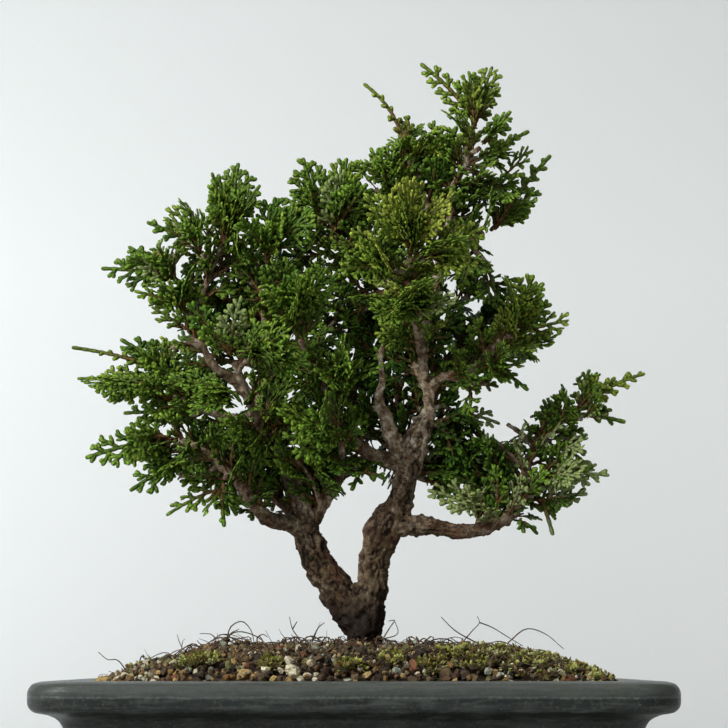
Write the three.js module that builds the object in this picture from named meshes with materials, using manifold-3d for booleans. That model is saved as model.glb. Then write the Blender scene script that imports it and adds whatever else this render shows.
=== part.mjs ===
// A hinoki cypress bonsai: twin trunks of one tree, its flat foliage sprays, the soil mound and a glazed pot.
// Millimetres, +Z up, front towards -Y. The origin is the middle of the plane that the pot's feet stand on.
import * as THREE from 'three';
import { mergeVertices } from 'three/addons/utils/BufferGeometryUtils.js';
import Module from 'manifold-3d';

const wasm = await Module();
wasm.setup();

// ---------- driving dimensions ----------

const GAP = 0.3; // between pieces that touch

const POT = {
  halfX: 98.3, halfY: 75, // outside of the lip
  corner: 15, cornerLess: 0.45, cornerLeast: 3, cornerSteps: 4, // a ring's corners tighten with its inset
  footHeight: 8, footInset: 14.5, footWidth: 14, // L-shaped feet at the four corners
  footTaper: 1.2, footSunk: 1,
  footGapX: 52, footGapY: 34, // half the openings between the feet
  floor: 14, // level of the inside floor
  drainX: 42, drainRadius: 8, drainSides: 16, drainLength: 12, drainOver: 1,
};
// The pot's wall, from the foot up the outside, over the rolled lip and down the inside: [height, inset].
const POT_OUTSIDE = [
  [8, 14], [9.5, 12.8], [26, 11.6], [43, 10.8], [46.2, 10], [48.4, 8.6], [49.9, 5.8], [50.9, 1.8],
  [52.6, 0.3], [55, 0], [57.4, 0.2], [59.2, 1.4], [60, 3.8],
];
const POT_INSIDE = [[60, 12.4], [59.2, 14.3], [57, 15], [38, 15.6], [18, 17.4], [14, 22]];

const SCREEN = { size: 24, thickness: 0.8, holes: 3, hole: 5.6, bar: 1.8 };

const SOIL = {
  edge: 58.2, rise: 13.0, // level at the pot's wall, and how much higher the mound's top is
  halfX: 83, halfY: 61, flatX: 3.4, flatY: 4, // reach of the mound, and how flat its top is each way
  sheet: [170, 126], cellsX: 24, cellsY: 17, crumb: 1.5, jitter: 1.1, // relief of the grains
  seeds: [0, 5000, 9000], // of the shifts along x, y and z
  wallTop: 57, open: 90, meet: 600, // where the wall is left, a level above the mound, and the cone's depth
};

const BARK = {
  relief: 0.09, above: 78, // the ridges, as a share of the radius, and the level they begin at
  ringSeed: 3.1, sideSeed: 7.3,
  // How finely a limb is made, by its radius at the root: sides, and rings for each of its listed points.
  skins: [
    { from: 4.5, sides: 8, detail: 1 }, { from: 3.5, sides: 6, detail: 0.8 },
    { from: 2.5, sides: 5, detail: 0.8 }, { from: 0, sides: 4, detail: 0.7 },
  ],
};
// A twig leaves its limb before the nearest point, by a share of the way to the spray's heart.
const TWIG = {
  radius: 0.95, sides: 3, steps: 2, samples: 60, back: 0.35, least: 0.02, reach: 0.62, bend: 0.45,
};
const STEM = { radius: 1.05, length: 4.5, sides: 4, sunk: 0.7 };
const LEAF = {
  thickness: 0.75, ribRoot: 0.6, ribTip: 0.7, // of the blade, and half widths of the rib
  pitch: 4.8, fewestSteps: 5, mostSteps: 7, // steps along a rib
  pull: 0.35, arch: 0.07, // how far a rib is drawn to the heart, and how high it arches
  rearFrom: 16, lift: 0.45, liftSpread: 0.75, turnSpread: 1.1, // which way a frond's face looks
  angle: 0.80, // radians between a leaflet and its rib
  breadth: 0.52, swell: [0.3, 0.95], blunt: 0.25, droop: 0.16, tipLong: 3.2, tipWide: 1.5,
  clear: 3, least: 3, shares: [1, 0.8, 0.6, 0.42], ribFeelers: 14, // room kept between fronds
};

// ---------- small tools ----------

const vec = ([x, y, z]) => new THREE.Vector3(x, y, z);
const mix = (a, b, t) => a + (b - a) * t;
// A repeatable draw between 0 and 1 for a number.
const draw = (n) => {
  const s = Math.sin(n * 12.9898 + 4.1) * 43758.5453;
  return s - Math.floor(s);
};

function geometryOf(points, triangles) {
  const flat = points.flatMap((p) => [p.x, p.y, p.z]);
  return new THREE.BufferGeometry()
    .setAttribute('position', new THREE.Float32BufferAttribute(flat, 3))
    .setIndex(triangles.flat());
}

function solidOf(geometry) {
  const bare = geometry.clone();
  bare.deleteAttribute('normal');
  bare.deleteAttribute('uv');
  const merged = mergeVertices(bare, 1e-4);
  return new wasm.Manifold(new wasm.Mesh({
    numProp: 3,
    vertProperties: new Float32Array(merged.attributes.position.array),
    triVerts: new Uint32Array(merged.index.array),
  }));
}

function meshOf(solid, name, material) {
  const made = solid.getMesh();
  const geometry = new THREE.BufferGeometry()
    .setAttribute('position', new THREE.BufferAttribute(new Float32Array(made.vertProperties), 3))
    .setIndex(new THREE.BufferAttribute(new Uint32Array(made.triVerts), 1));
  geometry.computeVertexNormals();
  const mesh = new THREE.Mesh(geometry, material);
  mesh.name = name;
  return mesh;
}

const fused = (solids) => wasm.Manifold.union(solids);
// The largest body of a solid: a scrap that a cut has freed falls away.
const largest = (solid) => solid.decompose().reduce((a, b) => (a.volume() > b.volume() ? a : b));

// A closed skin through rings with the same number of points each, the first and last ring capped.
function loft(rings) {
  const n = rings[0].length;
  const points = rings.flat();
  const triangles = [];
  for (let r = 0; r + 1 < rings.length; r++) {
    for (let i = 0; i < n; i++) {
      const [a, b] = [r * n + i, r * n + ((i + 1) % n)];
      triangles.push([a, b, b + n], [a, b + n, a + n]);
    }
  }
  const top = (rings.length - 1) * n;
  for (let i = 1; i + 1 < n; i++) {
    triangles.push([0, i + 1, i], [top, top + i, top + i + 1]);
  }
  return solidOf(geometryOf(points, triangles));
}

// ---------- pot, drain screens and soil ----------

function roundedRing(inset, z) {
  const radius = Math.max(POT.cornerLeast, POT.corner - POT.cornerLess * inset);
  const [ax, ay] = [POT.halfX - inset - radius, POT.halfY - inset - radius];
  const ring = [];
  for (let quarter = 0; quarter < 4; quarter++) {
    const [sx, sy] = [[1, 1], [-1, 1], [-1, -1], [1, -1]][quarter];
    for (let i = 0; i <= POT.cornerSteps; i++) {
      const angle = ((quarter + i / POT.cornerSteps) * Math.PI) / 2;
      const [x, y] = [sx * ax + radius * Math.cos(angle), sy * ay + radius * Math.sin(angle)];
      ring.push(new THREE.Vector3(x, y, z));
    }
  }
  return ring;
}

function box(sizeX, sizeY, sizeZ, x, y, z) {
  return solidOf(new THREE.BoxGeometry(sizeX, sizeY, sizeZ).translate(x, y, z));
}

function drainCutter(x) {
  const { drainRadius, drainLength, drainSides, drainOver, floor } = POT;
  const hole = new THREE.CylinderGeometry(drainRadius, drainRadius, drainLength, drainSides);
  return solidOf(hole.rotateX(Math.PI / 2).translate(x, 0, floor + drainOver - drainLength / 2));
}

function potSolid() {
  const { halfX, halfY, footHeight, footInset, footWidth, footTaper, footSunk, footGapX, footGapY } = POT;
  const wall = [...POT_OUTSIDE, ...POT_INSIDE].map(([z, inset]) => roundedRing(inset, z));
  const within = footInset + footWidth;
  const feet = loft([roundedRing(footInset + footTaper, 0), roundedRing(footInset, footHeight + footSunk)])
    .subtract(loft([roundedRing(within, -footSunk), roundedRing(within + 1, footHeight + 2 * footSunk)]))
    .subtract(box(2 * footGapX, 3 * halfY, 3 * footHeight, 0, 0, 0))
    .subtract(box(3 * halfX, 2 * footGapY, 3 * footHeight, 0, 0, 0));
  return loft(wall).add(feet).subtract(drainCutter(-POT.drainX)).subtract(drainCutter(POT.drainX));
}

function screenSolid(x) {
  const { size, thickness, holes, hole, bar } = SCREEN;
  const level = POT.floor + GAP + thickness / 2;
  const first = -((holes - 1) * (hole + bar)) / 2;
  let sheet = box(size, size, thickness, x, 0, level);
  for (let i = 0; i < holes; i++) {
    for (let j = 0; j < holes; j++) {
      const [dx, dy] = [first + i * (hole + bar), first + j * (hole + bar)];
      sheet = sheet.subtract(box(hole, hole, 3 * thickness, x + dx, dy, level));
    }
  }
  return sheet;
}

const moundAt = (x, y) => {
  const across = Math.min(1, Math.abs(x) / SOIL.halfX);
  const deep = Math.min(1, Math.abs(y) / SOIL.halfY);
  return SOIL.edge + SOIL.rise * (1 - across ** SOIL.flatX) * (1 - deep ** SOIL.flatY);
};

// The relief of the grains: a sheet of triangles with corners shifted a little, wider than the pot's inside.
function moundSheet() {
  const { cellsX, cellsY, crumb, sheet, jitter, seeds } = SOIL;
  const points = [];
  for (let j = 0; j <= cellsY; j++) {
    for (let i = 0; i <= cellsX; i++) {
      const shifts = seeds.map((seed) => 2 * draw(seed + i + j * (cellsX + 1)) - 1);
      const x = (i / cellsX - 0.5) * sheet[0] + shifts[0] * jitter;
      const y = (j / cellsY - 0.5) * sheet[1] + shifts[1] * jitter;
      points.push(new THREE.Vector3(x, y, moundAt(x, y) + shifts[2] * crumb));
    }
  }
  const at = (i, j) => i + j * (cellsX + 1);
  const triangles = [];
  for (let j = 0; j < cellsY; j++) {
    for (let i = 0; i < cellsX; i++) {
      triangles.push([at(i, j), at(i + 1, j), at(i + 1, j + 1)], [at(i, j), at(i + 1, j + 1), at(i, j + 1)]);
    }
  }
  const edge = [];
  for (let i = 0; i < cellsX; i++) edge.push(at(i, 0));
  for (let j = 0; j < cellsY; j++) edge.push(at(cellsX, j));
  for (let i = cellsX; i > 0; i--) edge.push(at(i, cellsY));
  for (let j = cellsY; j > 0; j--) edge.push(at(0, j));
  return { points, triangles, edge };
}

// The mound, closed by steep sides that meet far below, is cut to the pot's inside with a gap all round.
function soilSolid(hole) {
  const { points, triangles, edge } = moundSheet();
  const meet = points.push(new THREE.Vector3(0, 0, -SOIL.meet)) - 1;
  edge.forEach((corner, k) => triangles.push([edge[(k + 1) % edge.length], corner, meet]));
  const levels = POT_INSIDE.filter(([z]) => z <= SOIL.wallTop).reverse();
  const inside = levels.map(([z, inset], k) => roundedRing(inset + GAP, k ? z : z + GAP));
  inside.push(roundedRing(levels.at(-1)[1] + GAP, SOIL.open));
  const pocketSize = SCREEN.size + 2 * GAP;
  const pocket = (x) => box(pocketSize, pocketSize, 2 * (SCREEN.thickness + 2 * GAP), x, 0, POT.floor);
  const mound = solidOf(geometryOf(points, triangles)).intersect(loft(inside));
  return largest(mound.subtract(pocket(-POT.drainX)).subtract(pocket(POT.drainX)).subtract(hole));
}

// ---------- wood ----------

// Each limb of the tree, root to tip: [x, y, z, radius].
const LIMBS = {
  trunk_right: [
    [3, 0, 48, 4.6], [3, 0, 60, 5.2], [3, 0, 74, 5.9], [3.6, 0, 82, 6.1], [5.7, 0, 91, 4.7],
    [6.5, 0, 100, 4.3], [8, 0, 106, 5.4], [11.5, 0, 112, 5.6], [14.9, 0, 119, 4.8], [16.5, 0, 126, 4.5],
    [17.6, 0.5, 134, 4.8],
  ],
  trunk_left: [
    [2, 1, 77, 5.3], [-3.5, 2, 85, 6.2], [-8, 3, 92, 5.3], [-12, 4, 98, 4.9], [-14.6, 5, 104, 5],
    [-16, 6, 110, 4.7], [-17.2, 7, 116, 4.3], [-19.5, 8, 123, 3.5], [-23.5, 9, 132, 3], [-29, 9, 142, 2.5],
    [-34, 8, 151, 2.2], [-40, 6, 160, 2.3], [-47, 4, 164, 2], [-51, 3, 171, 1.7], [-52, 2, 182, 1.5],
    [-50, 1, 194, 1.3], [-45, 0, 205, 1.1],
  ],
  fork_collar: [[-4, 2, 87.5, 3.3], [0, 1, 88.8, 3.1], [4, 0, 90, 3.3]],
  stub: [
    [16.5, 0, 131, 3.4], [12.6, -2, 140, 2.5], [10.2, -3, 146, 2.4], [7.8, -3.5, 153, 1.6],
    [9.2, -4, 159, 1.3], [8.6, -4, 165, 0.9], [9.6, -4, 172, 0.7],
  ],
  leader: [
    [17.6, 0.5, 131, 4], [20.2, 0, 138, 4.4], [22.8, 0, 143.5, 3.9], [24.6, 0, 149, 2.1],
    [24.4, 0, 155, 1.7], [22.8, 1, 160.5, 1.9], [22, 1.6, 165.5, 2.5], [22.6, 2, 170, 1.8],
    [24.5, 3, 181, 1.8], [27.5, 3, 195, 1.8], [31, 3, 207, 1.7], [32.3, 3, 217, 1.6], [33, 2, 225, 1.5],
    [37, 1, 233, 1.3], [40, 0, 244.5, 1.1],
  ],
  right_low: [
    [11, 0, 110.2, 4.2], [19, -2, 110.9, 3.5], [27, -4, 110.1, 3], [34, -5, 108.8, 2.7],
    [41, -6, 109, 2.3], [47, -6, 110.8, 2], [52, -4, 114, 1.8], [55, -1, 121, 1.7], [57, 1, 129, 1.5],
    [60, 3, 137, 1.4], [66, 3, 143.5, 1.2], [72, 2, 147.5, 1.1],
  ],
  right_mid: [
    [23.8, 1, 156, 1.8], [30, -2, 160.5, 1.4], [38, -5, 162, 1.2], [44, -8, 167, 1.1], [50, -10, 173, 1],
  ],
  red: [
    [16, 0, 130.5, 3], [8, -2, 133.4, 2.6], [2.5, -4, 136, 2.3], [-2.5, -6, 140.4, 2],
    [-7.5, -9, 146, 1.7], [-9.6, -12, 153, 1.5], [-12, -15, 160, 1.3], [-18, -20.5, 170.5, 1.1],
  ],
  left_low: [
    [-14.6, 6, 106, 3.4], [-21, 2, 111.2, 2.9], [-28.5, -4, 112.6, 2.5], [-33.5, -8, 117.5, 2.2],
    [-38, -11, 124, 1.9], [-44, -13, 130, 1.6], [-50, -14, 134.5, 1.3], [-57, -14, 137.5, 1.1],
  ],
  left_inner: [
    [-15, 7, 110, 2.8], [-11.2, 4, 117, 1.9], [-7.5, 0, 122, 1.6], [-4.6, -6, 128, 1.4],
    [-4.5, -15, 137.5, 1.1],
  ],
  left_back: [[-17.5, 8, 116, 2.4], [-24, 13, 118.6, 1.9], [-29, 19, 124, 1.6], [-36.5, 27, 135, 1.2]],
  left_out: [[-33, 8, 149, 1.9], [-41, 2, 147, 1.5], [-50, -3, 149, 1.3], [-60, -6, 154.5, 1.1]],
  left_front: [[-23, 9, 131, 2], [-27, -4, 138, 1.6], [-33, -14, 147, 1.4], [-39, -24, 162, 1.1]],
  left_up: [[-33, 8, 149.5, 1.9], [-31, 4, 162, 1.6], [-30.5, 1, 178, 1.4], [-30, -1, 197, 1.1]],
  left_rear: [[-29, 9, 142, 2], [-27, 18, 151, 1.5], [-25, 26, 164, 1.3], [-25, 31.5, 186, 1.1]],
  top_left: [[24.5, 3, 181, 1.8], [15, 6, 191, 1.5], [5, 8, 200, 1.3], [-5, 7, 208, 1.1]],
  crown_up: [[31, 3, 207, 1.5], [25, 3, 219, 1.3], [18.5, 3, 236, 1.1]],
  right_up: [[31, 3, 206, 1.5], [38, 4, 208.5, 1.2], [44, 5, 211, 1]],
  front_up: [[23, 2, 167, 1.9], [21, -9, 174, 1.5], [19, -18, 183, 1.3], [18, -27, 196, 1.1]],
  back_up: [[24, 3, 175, 1.9], [20, 13, 183, 1.5], [12.5, 24, 199, 1.1]],
  back_right: [[23.7, 1, 159, 2], [31, 10, 165, 1.5], [41, 19, 179, 1.1]],
};

// Each spray: its name, the limb that carries it, the heart that its fronds pass [x, y, z], and the tip and
// the relative breadth of each frond. The first spray listed for a limb grows from the limb's end, and the
// others grow from twigs on its side.
const SPRAYS = [
  ['left_tip_spray', 'left_low', [-66, -14, 136],
    [[-88, -15, 132, 0.7], [-76, -3, 134, 0.8], [-73, -30, 137, 1]]],
  ['low_left_spray', 'left_low', [-44, -17, 124],
    [[-61, -19, 113, 0.8], [-42, -24, 109, 0.7], [-35, -14, 116, 0.5]]],
  ['low_left_fan', 'left_low', [-56, -13, 131],
    [[-73, -18, 121, 1], [-70, -4, 130, 0.9], [-60, -32, 127, 1]]],
  ['left_shoots', 'left_out', [-74, -7, 158], [[-92, -9, 159, 0.22], [-79, -12, 153, 0.7]]],
  ['left_middle_spray', 'left_out', [-58, 2, 147],
    [[-78, 4, 149, 0.8], [-63, 18, 148, 0.9], [-55, -12, 155, 1]]],
  ['left_high_fan', 'left_out', [-63, 1, 164],
    [[-79, 0, 173.5, 0.9], [-65, 13, 176, 1], [-71, -14, 167, 0.8], [-95, -2, 170.5, 0.2]]],
  ['upper_left_peak', 'trunk_left', [-43, -1, 214],
    [[-48.5, -4, 230, 0.7], [-40, 1, 234.5, 0.9], [-32, -9, 224.5, 0.8]]],
  ['left_shoulder_spray', 'trunk_left', [-58, 10, 177], [[-70, 14, 187, 0.9], [-60, 20, 191, 1]]],
  ['upper_left_low', 'trunk_left', [-60, -4, 185],
    [[-74, -6, 189, 0.9], [-66, -18, 183.5, 0.8], [-54, -22, 193, 1]]],
  ['upper_left_tip', 'trunk_left', [-62, 3, 196],
    [[-86, 1, 198, 0.8], [-77.5, 6, 206.5, 0.9], [-66, -12, 203, 0.9]]],
  ['upper_left_high', 'trunk_left', [-54, -3, 205],
    [[-70, -6, 212.5, 0.8], [-62.5, 6, 221, 1], [-50, -18, 213, 1]]],
  ['centre_left_top', 'left_up', [-29, -3, 206],
    [[-27, -6, 221, 1.1], [-14, -10, 216, 1.1], [-38, -15, 212, 1]]],
  ['crown_middle', 'top_left', [-3, 8, 218], [[-3, 6, 237.5, 1], [6, 18, 227, 1], [4, -9, 225, 1]]],
  ['notch_spray', 'top_left', [-14, 6, 217], [[-18, 4, 237, 1], [-25, 18, 226, 1]]],
  ['slender_shoot', 'crown_up', [24, 3, 254], [[3, 1, 262.5, 0.25], [17, 5, 252, 0.6]]],
  ['crown_shoulder', 'crown_up', [10, 2, 227], [[11, 2, 241, 0.9], [-2, -12, 231, 1], [18, -11, 234, 1]]],
  ['left_of_apex', 'crown_up', [26, 3, 234], [[27, 3, 250, 1], [31, -13, 241, 1], [30, 16, 243, 1]]],
  ['apex_spray', 'leader', [42, 0, 255], [[47, 1, 268.5, 1], [22.5, -1, 269, 0.6], [49.5, 3, 261, 0.8]]],
  ['apex_side', 'leader', [45, -5, 240], [[53, -2, 252, 1], [50, -18, 245, 1]]],
  ['right_top_shoot', 'leader', [44, 3, 237], [[59.5, 2, 246, 0.4], [53, 9, 233, 0.8]]],
  ['right_upper_shoot', 'right_up', [50, 5, 217], [[67, 4, 238, 0.4], [61, 10, 222, 0.8]]],
  ['right_upper_fill', 'leader', [40, 7, 226], [[52, 14, 226, 1], [34, 24, 233, 1], [46, -10, 229, 1]]],
  ['right_shelf', 'right_up', [40, 3, 201], [[47, 6, 200, 1], [42, -10, 194, 1], [38, 18, 191, 1]]],
  ['right_dark_spray', 'back_right', [46, 21, 187],
    [[54, 20, 193, 0.8], [49, 40, 191, 1], [57, 8, 187, 1]]],
  ['right_bright_spray', 'right_mid', [56, -13, 180],
    [[59, -16, 192.5, 1], [65.5, -9, 184, 1], [50, -32, 187, 1]]],
  ['right_edge_spray', 'right_mid', [54, -3, 171], [[65, -2, 175, 0.9], [63, 12, 168, 0.8]]],
  ['right_skirt', 'right_mid', [46, -11, 163],
    [[57, -14, 154.5, 0.7], [50, -28, 167, 1], [38, -24, 158, 1]]],
  ['right_hanging_spray', 'leader', [35, 8, 152], [[49, 9, 146, 1], [40, 25, 144, 1], [30, 19, 137, 1]]],
  ['right_low_top', 'right_low', [80, 2, 158.5], [[97.5, 1, 162, 0.5], [82, 6, 163, 0.7]]],
  ['right_low_rear', 'right_low', [66, 5, 147.5],
    [[64, 8, 154, 0.9], [60, 14, 149, 0.8], [71, 8, 158, 0.5]]],
  ['right_low_end', 'right_low', [79, -2, 147], [[90, -4, 145, 0.6], [81, -16, 153, 1]]],
  ['right_low_middle', 'right_low', [68, 1, 138],
    [[78, 2, 141.5, 0.9], [75, -12, 134, 1], [69, 17, 134, 1]]],
  ['right_low_front', 'right_low', [64, -6, 128], [[84, -7, 127, 0.9], [73, -22, 125, 1]]],
  ['right_low_skirt', 'right_low', [62, -2, 120],
    [[77, -4, 121, 1], [69, 11, 117, 1], [65.5, -4, 107.5, 0.3]]],
  ['right_low_droop', 'right_low', [55, -7, 114], [[60, -9, 107.5, 0.8], [55, -15, 107.5, 1]]],
  ['right_low_pale', 'right_low', [43, -10, 117],
    [[24, -13, 121.5, 1.1], [32, -22, 114, 0.9], [40, -22, 121, 1]]],
  ['right_low_inner', 'right_low', [50, 4, 126], [[33, 6, 129, 1], [44, -5, 140, 1], [54, 20, 131, 1]]],
  ['front_bright_spray', 'front_up', [18, -32, 203],
    [[17, -41, 220, 1.1], [3, -38, 214, 1], [32, -40, 215, 1]]],
  ['front_right_spray', 'front_up', [26, -28, 197],
    [[42, -34, 205, 1], [39, -40, 191, 1], [33, -52, 199, 1]]],
  ['front_left_spray', 'front_up', [10, -30, 192],
    [[-1, -36, 204, 1], [-5, -43, 189, 1], [6, -53, 197, 1]]],
  ['front_low_spray', 'front_up', [19, -26, 180],
    [[6, -41, 174, 1], [32, -40, 179, 1.1], [20, -52, 184, 1]]],
  ['front_upper_left', 'left_front', [-43, -27, 170],
    [[-54, -33, 180, 0.8], [-36, -41, 181, 0.7], [-48, -45, 170, 0.8]]],
  ['front_middle_left', 'left_front', [-33, -29, 164],
    [[-20, -41, 171, 1.1], [-14, -34, 160, 1], [-28, -50, 163, 1]]],
  ['front_low_left', 'left_front', [-41, -24, 152],
    [[-60, -28, 157, 1], [-52, -40, 143, 1], [-39, -46, 150, 1]]],
  ['red_end_spray', 'red', [-19, -25, 178], [[-27, -32, 195, 1.1], [-9, -36, 191, 1], [-18, -48, 183, 1]]],
  ['red_side_spray', 'red', [-4, -20, 157], [[9, -30, 160, 1], [-3, -39, 168, 1], [-11, -38, 155, 1]]],
  ['inner_front_spray', 'left_inner', [-9, -20, 142],
    [[-25, -28, 145, 1.1], [-10, -39, 148, 1], [-19, -22, 131, 1]]],
  ['inner_low_spray', 'left_inner', [3, -10, 130], [[-1, -19, 121, 0.9], [10, -15, 125, 0.9]]],
  ['rear_left_spray', 'left_back', [-41, 31, 140],
    [[-59, 36, 147, 1], [-46, 51, 148, 1], [-30, 50, 141, 1]]],
  ['rear_upper_left', 'left_rear', [-25, 34, 196],
    [[-40, 42, 208, 1], [-11, 44, 209, 1], [-26, 55, 199, 1]]],
  ['rear_middle', 'left_rear', [-34, 34, 175], [[-51, 40, 181, 1], [-33, 55, 184, 1]]],
  ['rear_low', 'left_rear', [-17, 30, 161], [[-1, 41, 163, 1], [-17, 54, 168, 1], [2, 30, 149, 1.1]]],
  ['rear_top', 'back_up', [8, 28, 207], [[0, 34, 224, 1], [23, 38, 218, 1], [8, 48, 211, 1]]],
  ['rear_centre', 'back_up', [10, 26, 187],
    [[-8, 39, 191, 1], [9, 55, 189, 1], [27, 42, 179, 1.1], [2, 36, 171, 1]]],
  ['rear_right_low', 'back_right', [43, 22, 172], [[36, 45, 176, 1], [58, 33, 170, 1], [29, 34, 160, 1]]],
];

const curveOf = (limb) => new THREE.CatmullRomCurve3(limb.map(vec), false, 'centripetal');

// A tapered tube along a curve. Above the soil its skin is lifted into ridges of bark.
function tube(curve, radiusAt, sides, steps, relief, grow = 0) {
  const frames = curve.computeFrenetFrames(steps, false);
  const rings = [];
  for (let k = 0; k <= steps; k++) {
    const centre = curve.getPoint(k / steps);
    const ring = [];
    for (let i = 0; i < sides; i++) {
      const angle = (2 * Math.PI * i) / sides;
      const ridge = 2 * draw(i * BARK.sideSeed + k * BARK.ringSeed + steps) - 1;
      const bark = centre.z > BARK.above ? 1 + relief * ridge : 1;
      const radius = radiusAt(k / steps) * bark + grow;
      ring.push(centre.clone()
        .addScaledVector(frames.normals[k], radius * Math.cos(angle))
        .addScaledVector(frames.binormals[k], radius * Math.sin(angle)));
    }
    rings.push(ring);
  }
  return loft(rings);
}

function limbTube(limb, grow = 0) {
  const radiusAt = (t) => {
    const at = t * (limb.length - 1);
    const k = Math.min(limb.length - 2, Math.floor(at));
    return mix(limb[k][3], limb[k + 1][3], at - k);
  };
  const { sides, detail } = BARK.skins.find(({ from }) => limb[0][3] >= from);
  const steps = Math.round((limb.length - 1) * detail);
  return tube(curveOf(limb), radiusAt, sides, steps, BARK.relief, grow);
}

// A twig leaves its limb a little before the point nearest to its spray's heart, and ends short of the heart.
function twigCurve([, limbName, heart, tips]) {
  const limb = curveOf(LIMBS[limbName]);
  const points = Array.from({ length: TWIG.samples + 1 }, (_, k) => limb.getPoint(k / TWIG.samples));
  const gaps = points.map((point) => point.distanceTo(vec(heart)));
  const away = Math.min(...gaps);
  const nearest = gaps.indexOf(away) / TWIG.samples;
  const start = limb.getPoint(Math.max(TWIG.least, nearest - (TWIG.back * away) / limb.getLength()));
  const end = start.clone().lerp(vec(heart), TWIG.reach);
  const middle = tips.reduce((sum, tip) => sum.add(vec(tip)), new THREE.Vector3()).divideScalar(tips.length);
  const outward = middle.sub(end).normalize();
  const bend = end.clone().addScaledVector(outward, -TWIG.bend * start.distanceTo(end));
  return new THREE.QuadraticBezierCurve3(start, bend, end);
}

const endsLimb = (spray) => SPRAYS.find((other) => other[1] === spray[1]) === spray;
const carrierOf = (spray) => (endsLimb(spray) ? curveOf(LIMBS[spray[1]]) : twigCurve(spray));

function woodSolid(grow) {
  const limbs = Object.values(LIMBS).map((limb) => limbTube(limb, grow));
  const twigs = SPRAYS.filter((spray) => !endsLimb(spray)).map((spray) => (
    tube(twigCurve(spray), () => TWIG.radius, TWIG.sides, TWIG.steps, 0, grow)
  ));
  return largest(fused([...limbs, ...twigs]));
}

// The plain hole that the trunk's foot stands in.
function trunkHole() {
  const { sides } = BARK.skins[0];
  const below = LIMBS.trunk_right.slice(0, 4);
  const foot = below.map(([x, y, z, radius], k) => [x, y, k ? z : z - GAP, radius + GAP]);
  return loft(foot.map(([x, y, z, radius]) => Array.from({ length: sides }, (_, i) => {
    const angle = (2 * Math.PI * i) / sides;
    const wide = radius / Math.cos(Math.PI / sides) + GAP;
    return new THREE.Vector3(x + wide * Math.cos(angle), y + wide * Math.sin(angle), z);
  })));
}

// ---------- foliage ----------

// The rib of a frond: an arch from the stem past the spray's heart to the frond's tip, and the way its face
// looks.
function ribOf(spray, index, seed) {
  const [heart, tip] = [vec(spray[2]), vec(spray[3][index])];
  const carrier = carrierOf(spray);
  const start = carrier.getPoint(1).addScaledVector(carrier.getTangent(1), STEM.length - STEM.sunk);
  const span = tip.distanceTo(start);
  const middle = start.clone().lerp(tip, 0.5).lerp(heart, LEAF.pull);
  middle.z += LEAF.arch * span;
  const curve = new THREE.QuadraticBezierCurve3(start, middle, tip);
  const behind = heart.y > LEAF.rearFrom ? 1 : -1;
  const lift = LEAF.lift + LEAF.liftSpread * (draw(seed + 0.3) - 0.5);
  const turn = LEAF.turnSpread * (draw(seed + 0.7) - 0.5);
  const face = new THREE.Vector3(Math.sin(turn), behind * Math.cos(turn), lift).normalize();
  const steps = Math.min(LEAF.mostSteps, Math.max(LEAF.fewestSteps, Math.round(span / LEAF.pitch) + 1));
  return { curve, face, span, breadth: spray[3][index][3], steps };
}

// Stations along the rib, by turns on its left and right edge, each with the ways along, across and up.
function stationsOf(rib) {
  return Array.from({ length: rib.steps + 1 }, (_, k) => {
    const t = k / rib.steps;
    const side = k % 2 ? 1 : -1;
    const along = rib.curve.getTangent(t);
    const across = new THREE.Vector3().crossVectors(rib.face, along).normalize();
    const up = new THREE.Vector3().crossVectors(along, across).normalize();
    const point = rib.curve.getPoint(t).addScaledVector(across, side * mix(LEAF.ribRoot, LEAF.ribTip, t));
    return { point, side, along, across, up };
  });
}

// A leaflet grows from the rib's edge between a station and the next one on the same side.
function leafletOf(rib, stations, step, share) {
  const [a, b] = [stations[step], stations[step + 2]];
  const swell = Math.sin(Math.PI * mix(...LEAF.swell, (step + 1) / rib.steps));
  const length = rib.span * LEAF.breadth * rib.breadth * swell * share;
  const out = a.along.clone().multiplyScalar(Math.cos(LEAF.angle));
  out.addScaledVector(a.across, a.side * Math.sin(LEAF.angle));
  const forward = a.along.clone().multiplyScalar(Math.sin(LEAF.angle));
  forward.addScaledVector(a.across, -a.side * Math.cos(LEAF.angle));
  const end = a.point.clone().lerp(b.point, 0.5).addScaledVector(out, length);
  end.addScaledVector(a.up, -LEAF.droop * length);
  const wide = LEAF.blunt * a.point.distanceTo(b.point);
  const corners = [end.clone().addScaledVector(forward, -wide), end.clone().addScaledVector(forward, wide)];
  return { step, side: a.side, up: a.up, length, base: [a.point, b.point], corners };
}

// Points spread over a leaflet, by which its room is judged.
function feelersOf({ base, corners }) {
  const feelers = [];
  for (const t of [0.2, 0.4, 0.6, 0.8, 1]) {
    const [p, q] = [base[0].clone().lerp(corners[0], t), base[1].clone().lerp(corners[1], t)];
    for (const s of [0, 0.33, 0.67, 1]) feelers.push(p.clone().lerp(q, s));
  }
  return feelers;
}

// The room that sprays have taken, in cubes as wide as the clearance.
class Room {
  constructor() { this.cubes = new Map(); }
  key(x, y, z) { return `${x},${y},${z}`; }
  cube(p) { return [p.x, p.y, p.z].map((c) => Math.floor(c / LEAF.clear)); }
  take(p, owner) {
    const key = this.key(...this.cube(p));
    if (!this.cubes.has(key)) this.cubes.set(key, []);
    this.cubes.get(key).push([p, owner]);
  }
  isFree(p, owner) {
    const [x, y, z] = this.cube(p);
    const around = [-1, 0, 1];
    return around.every((i) => around.every((j) => around.every((k) => {
      const near = this.cubes.get(this.key(x + i, y + j, z + k)) || [];
      return near.every(([q, other]) => other === owner || q.distanceTo(p) >= LEAF.clear);
    })));
  }
}

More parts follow.
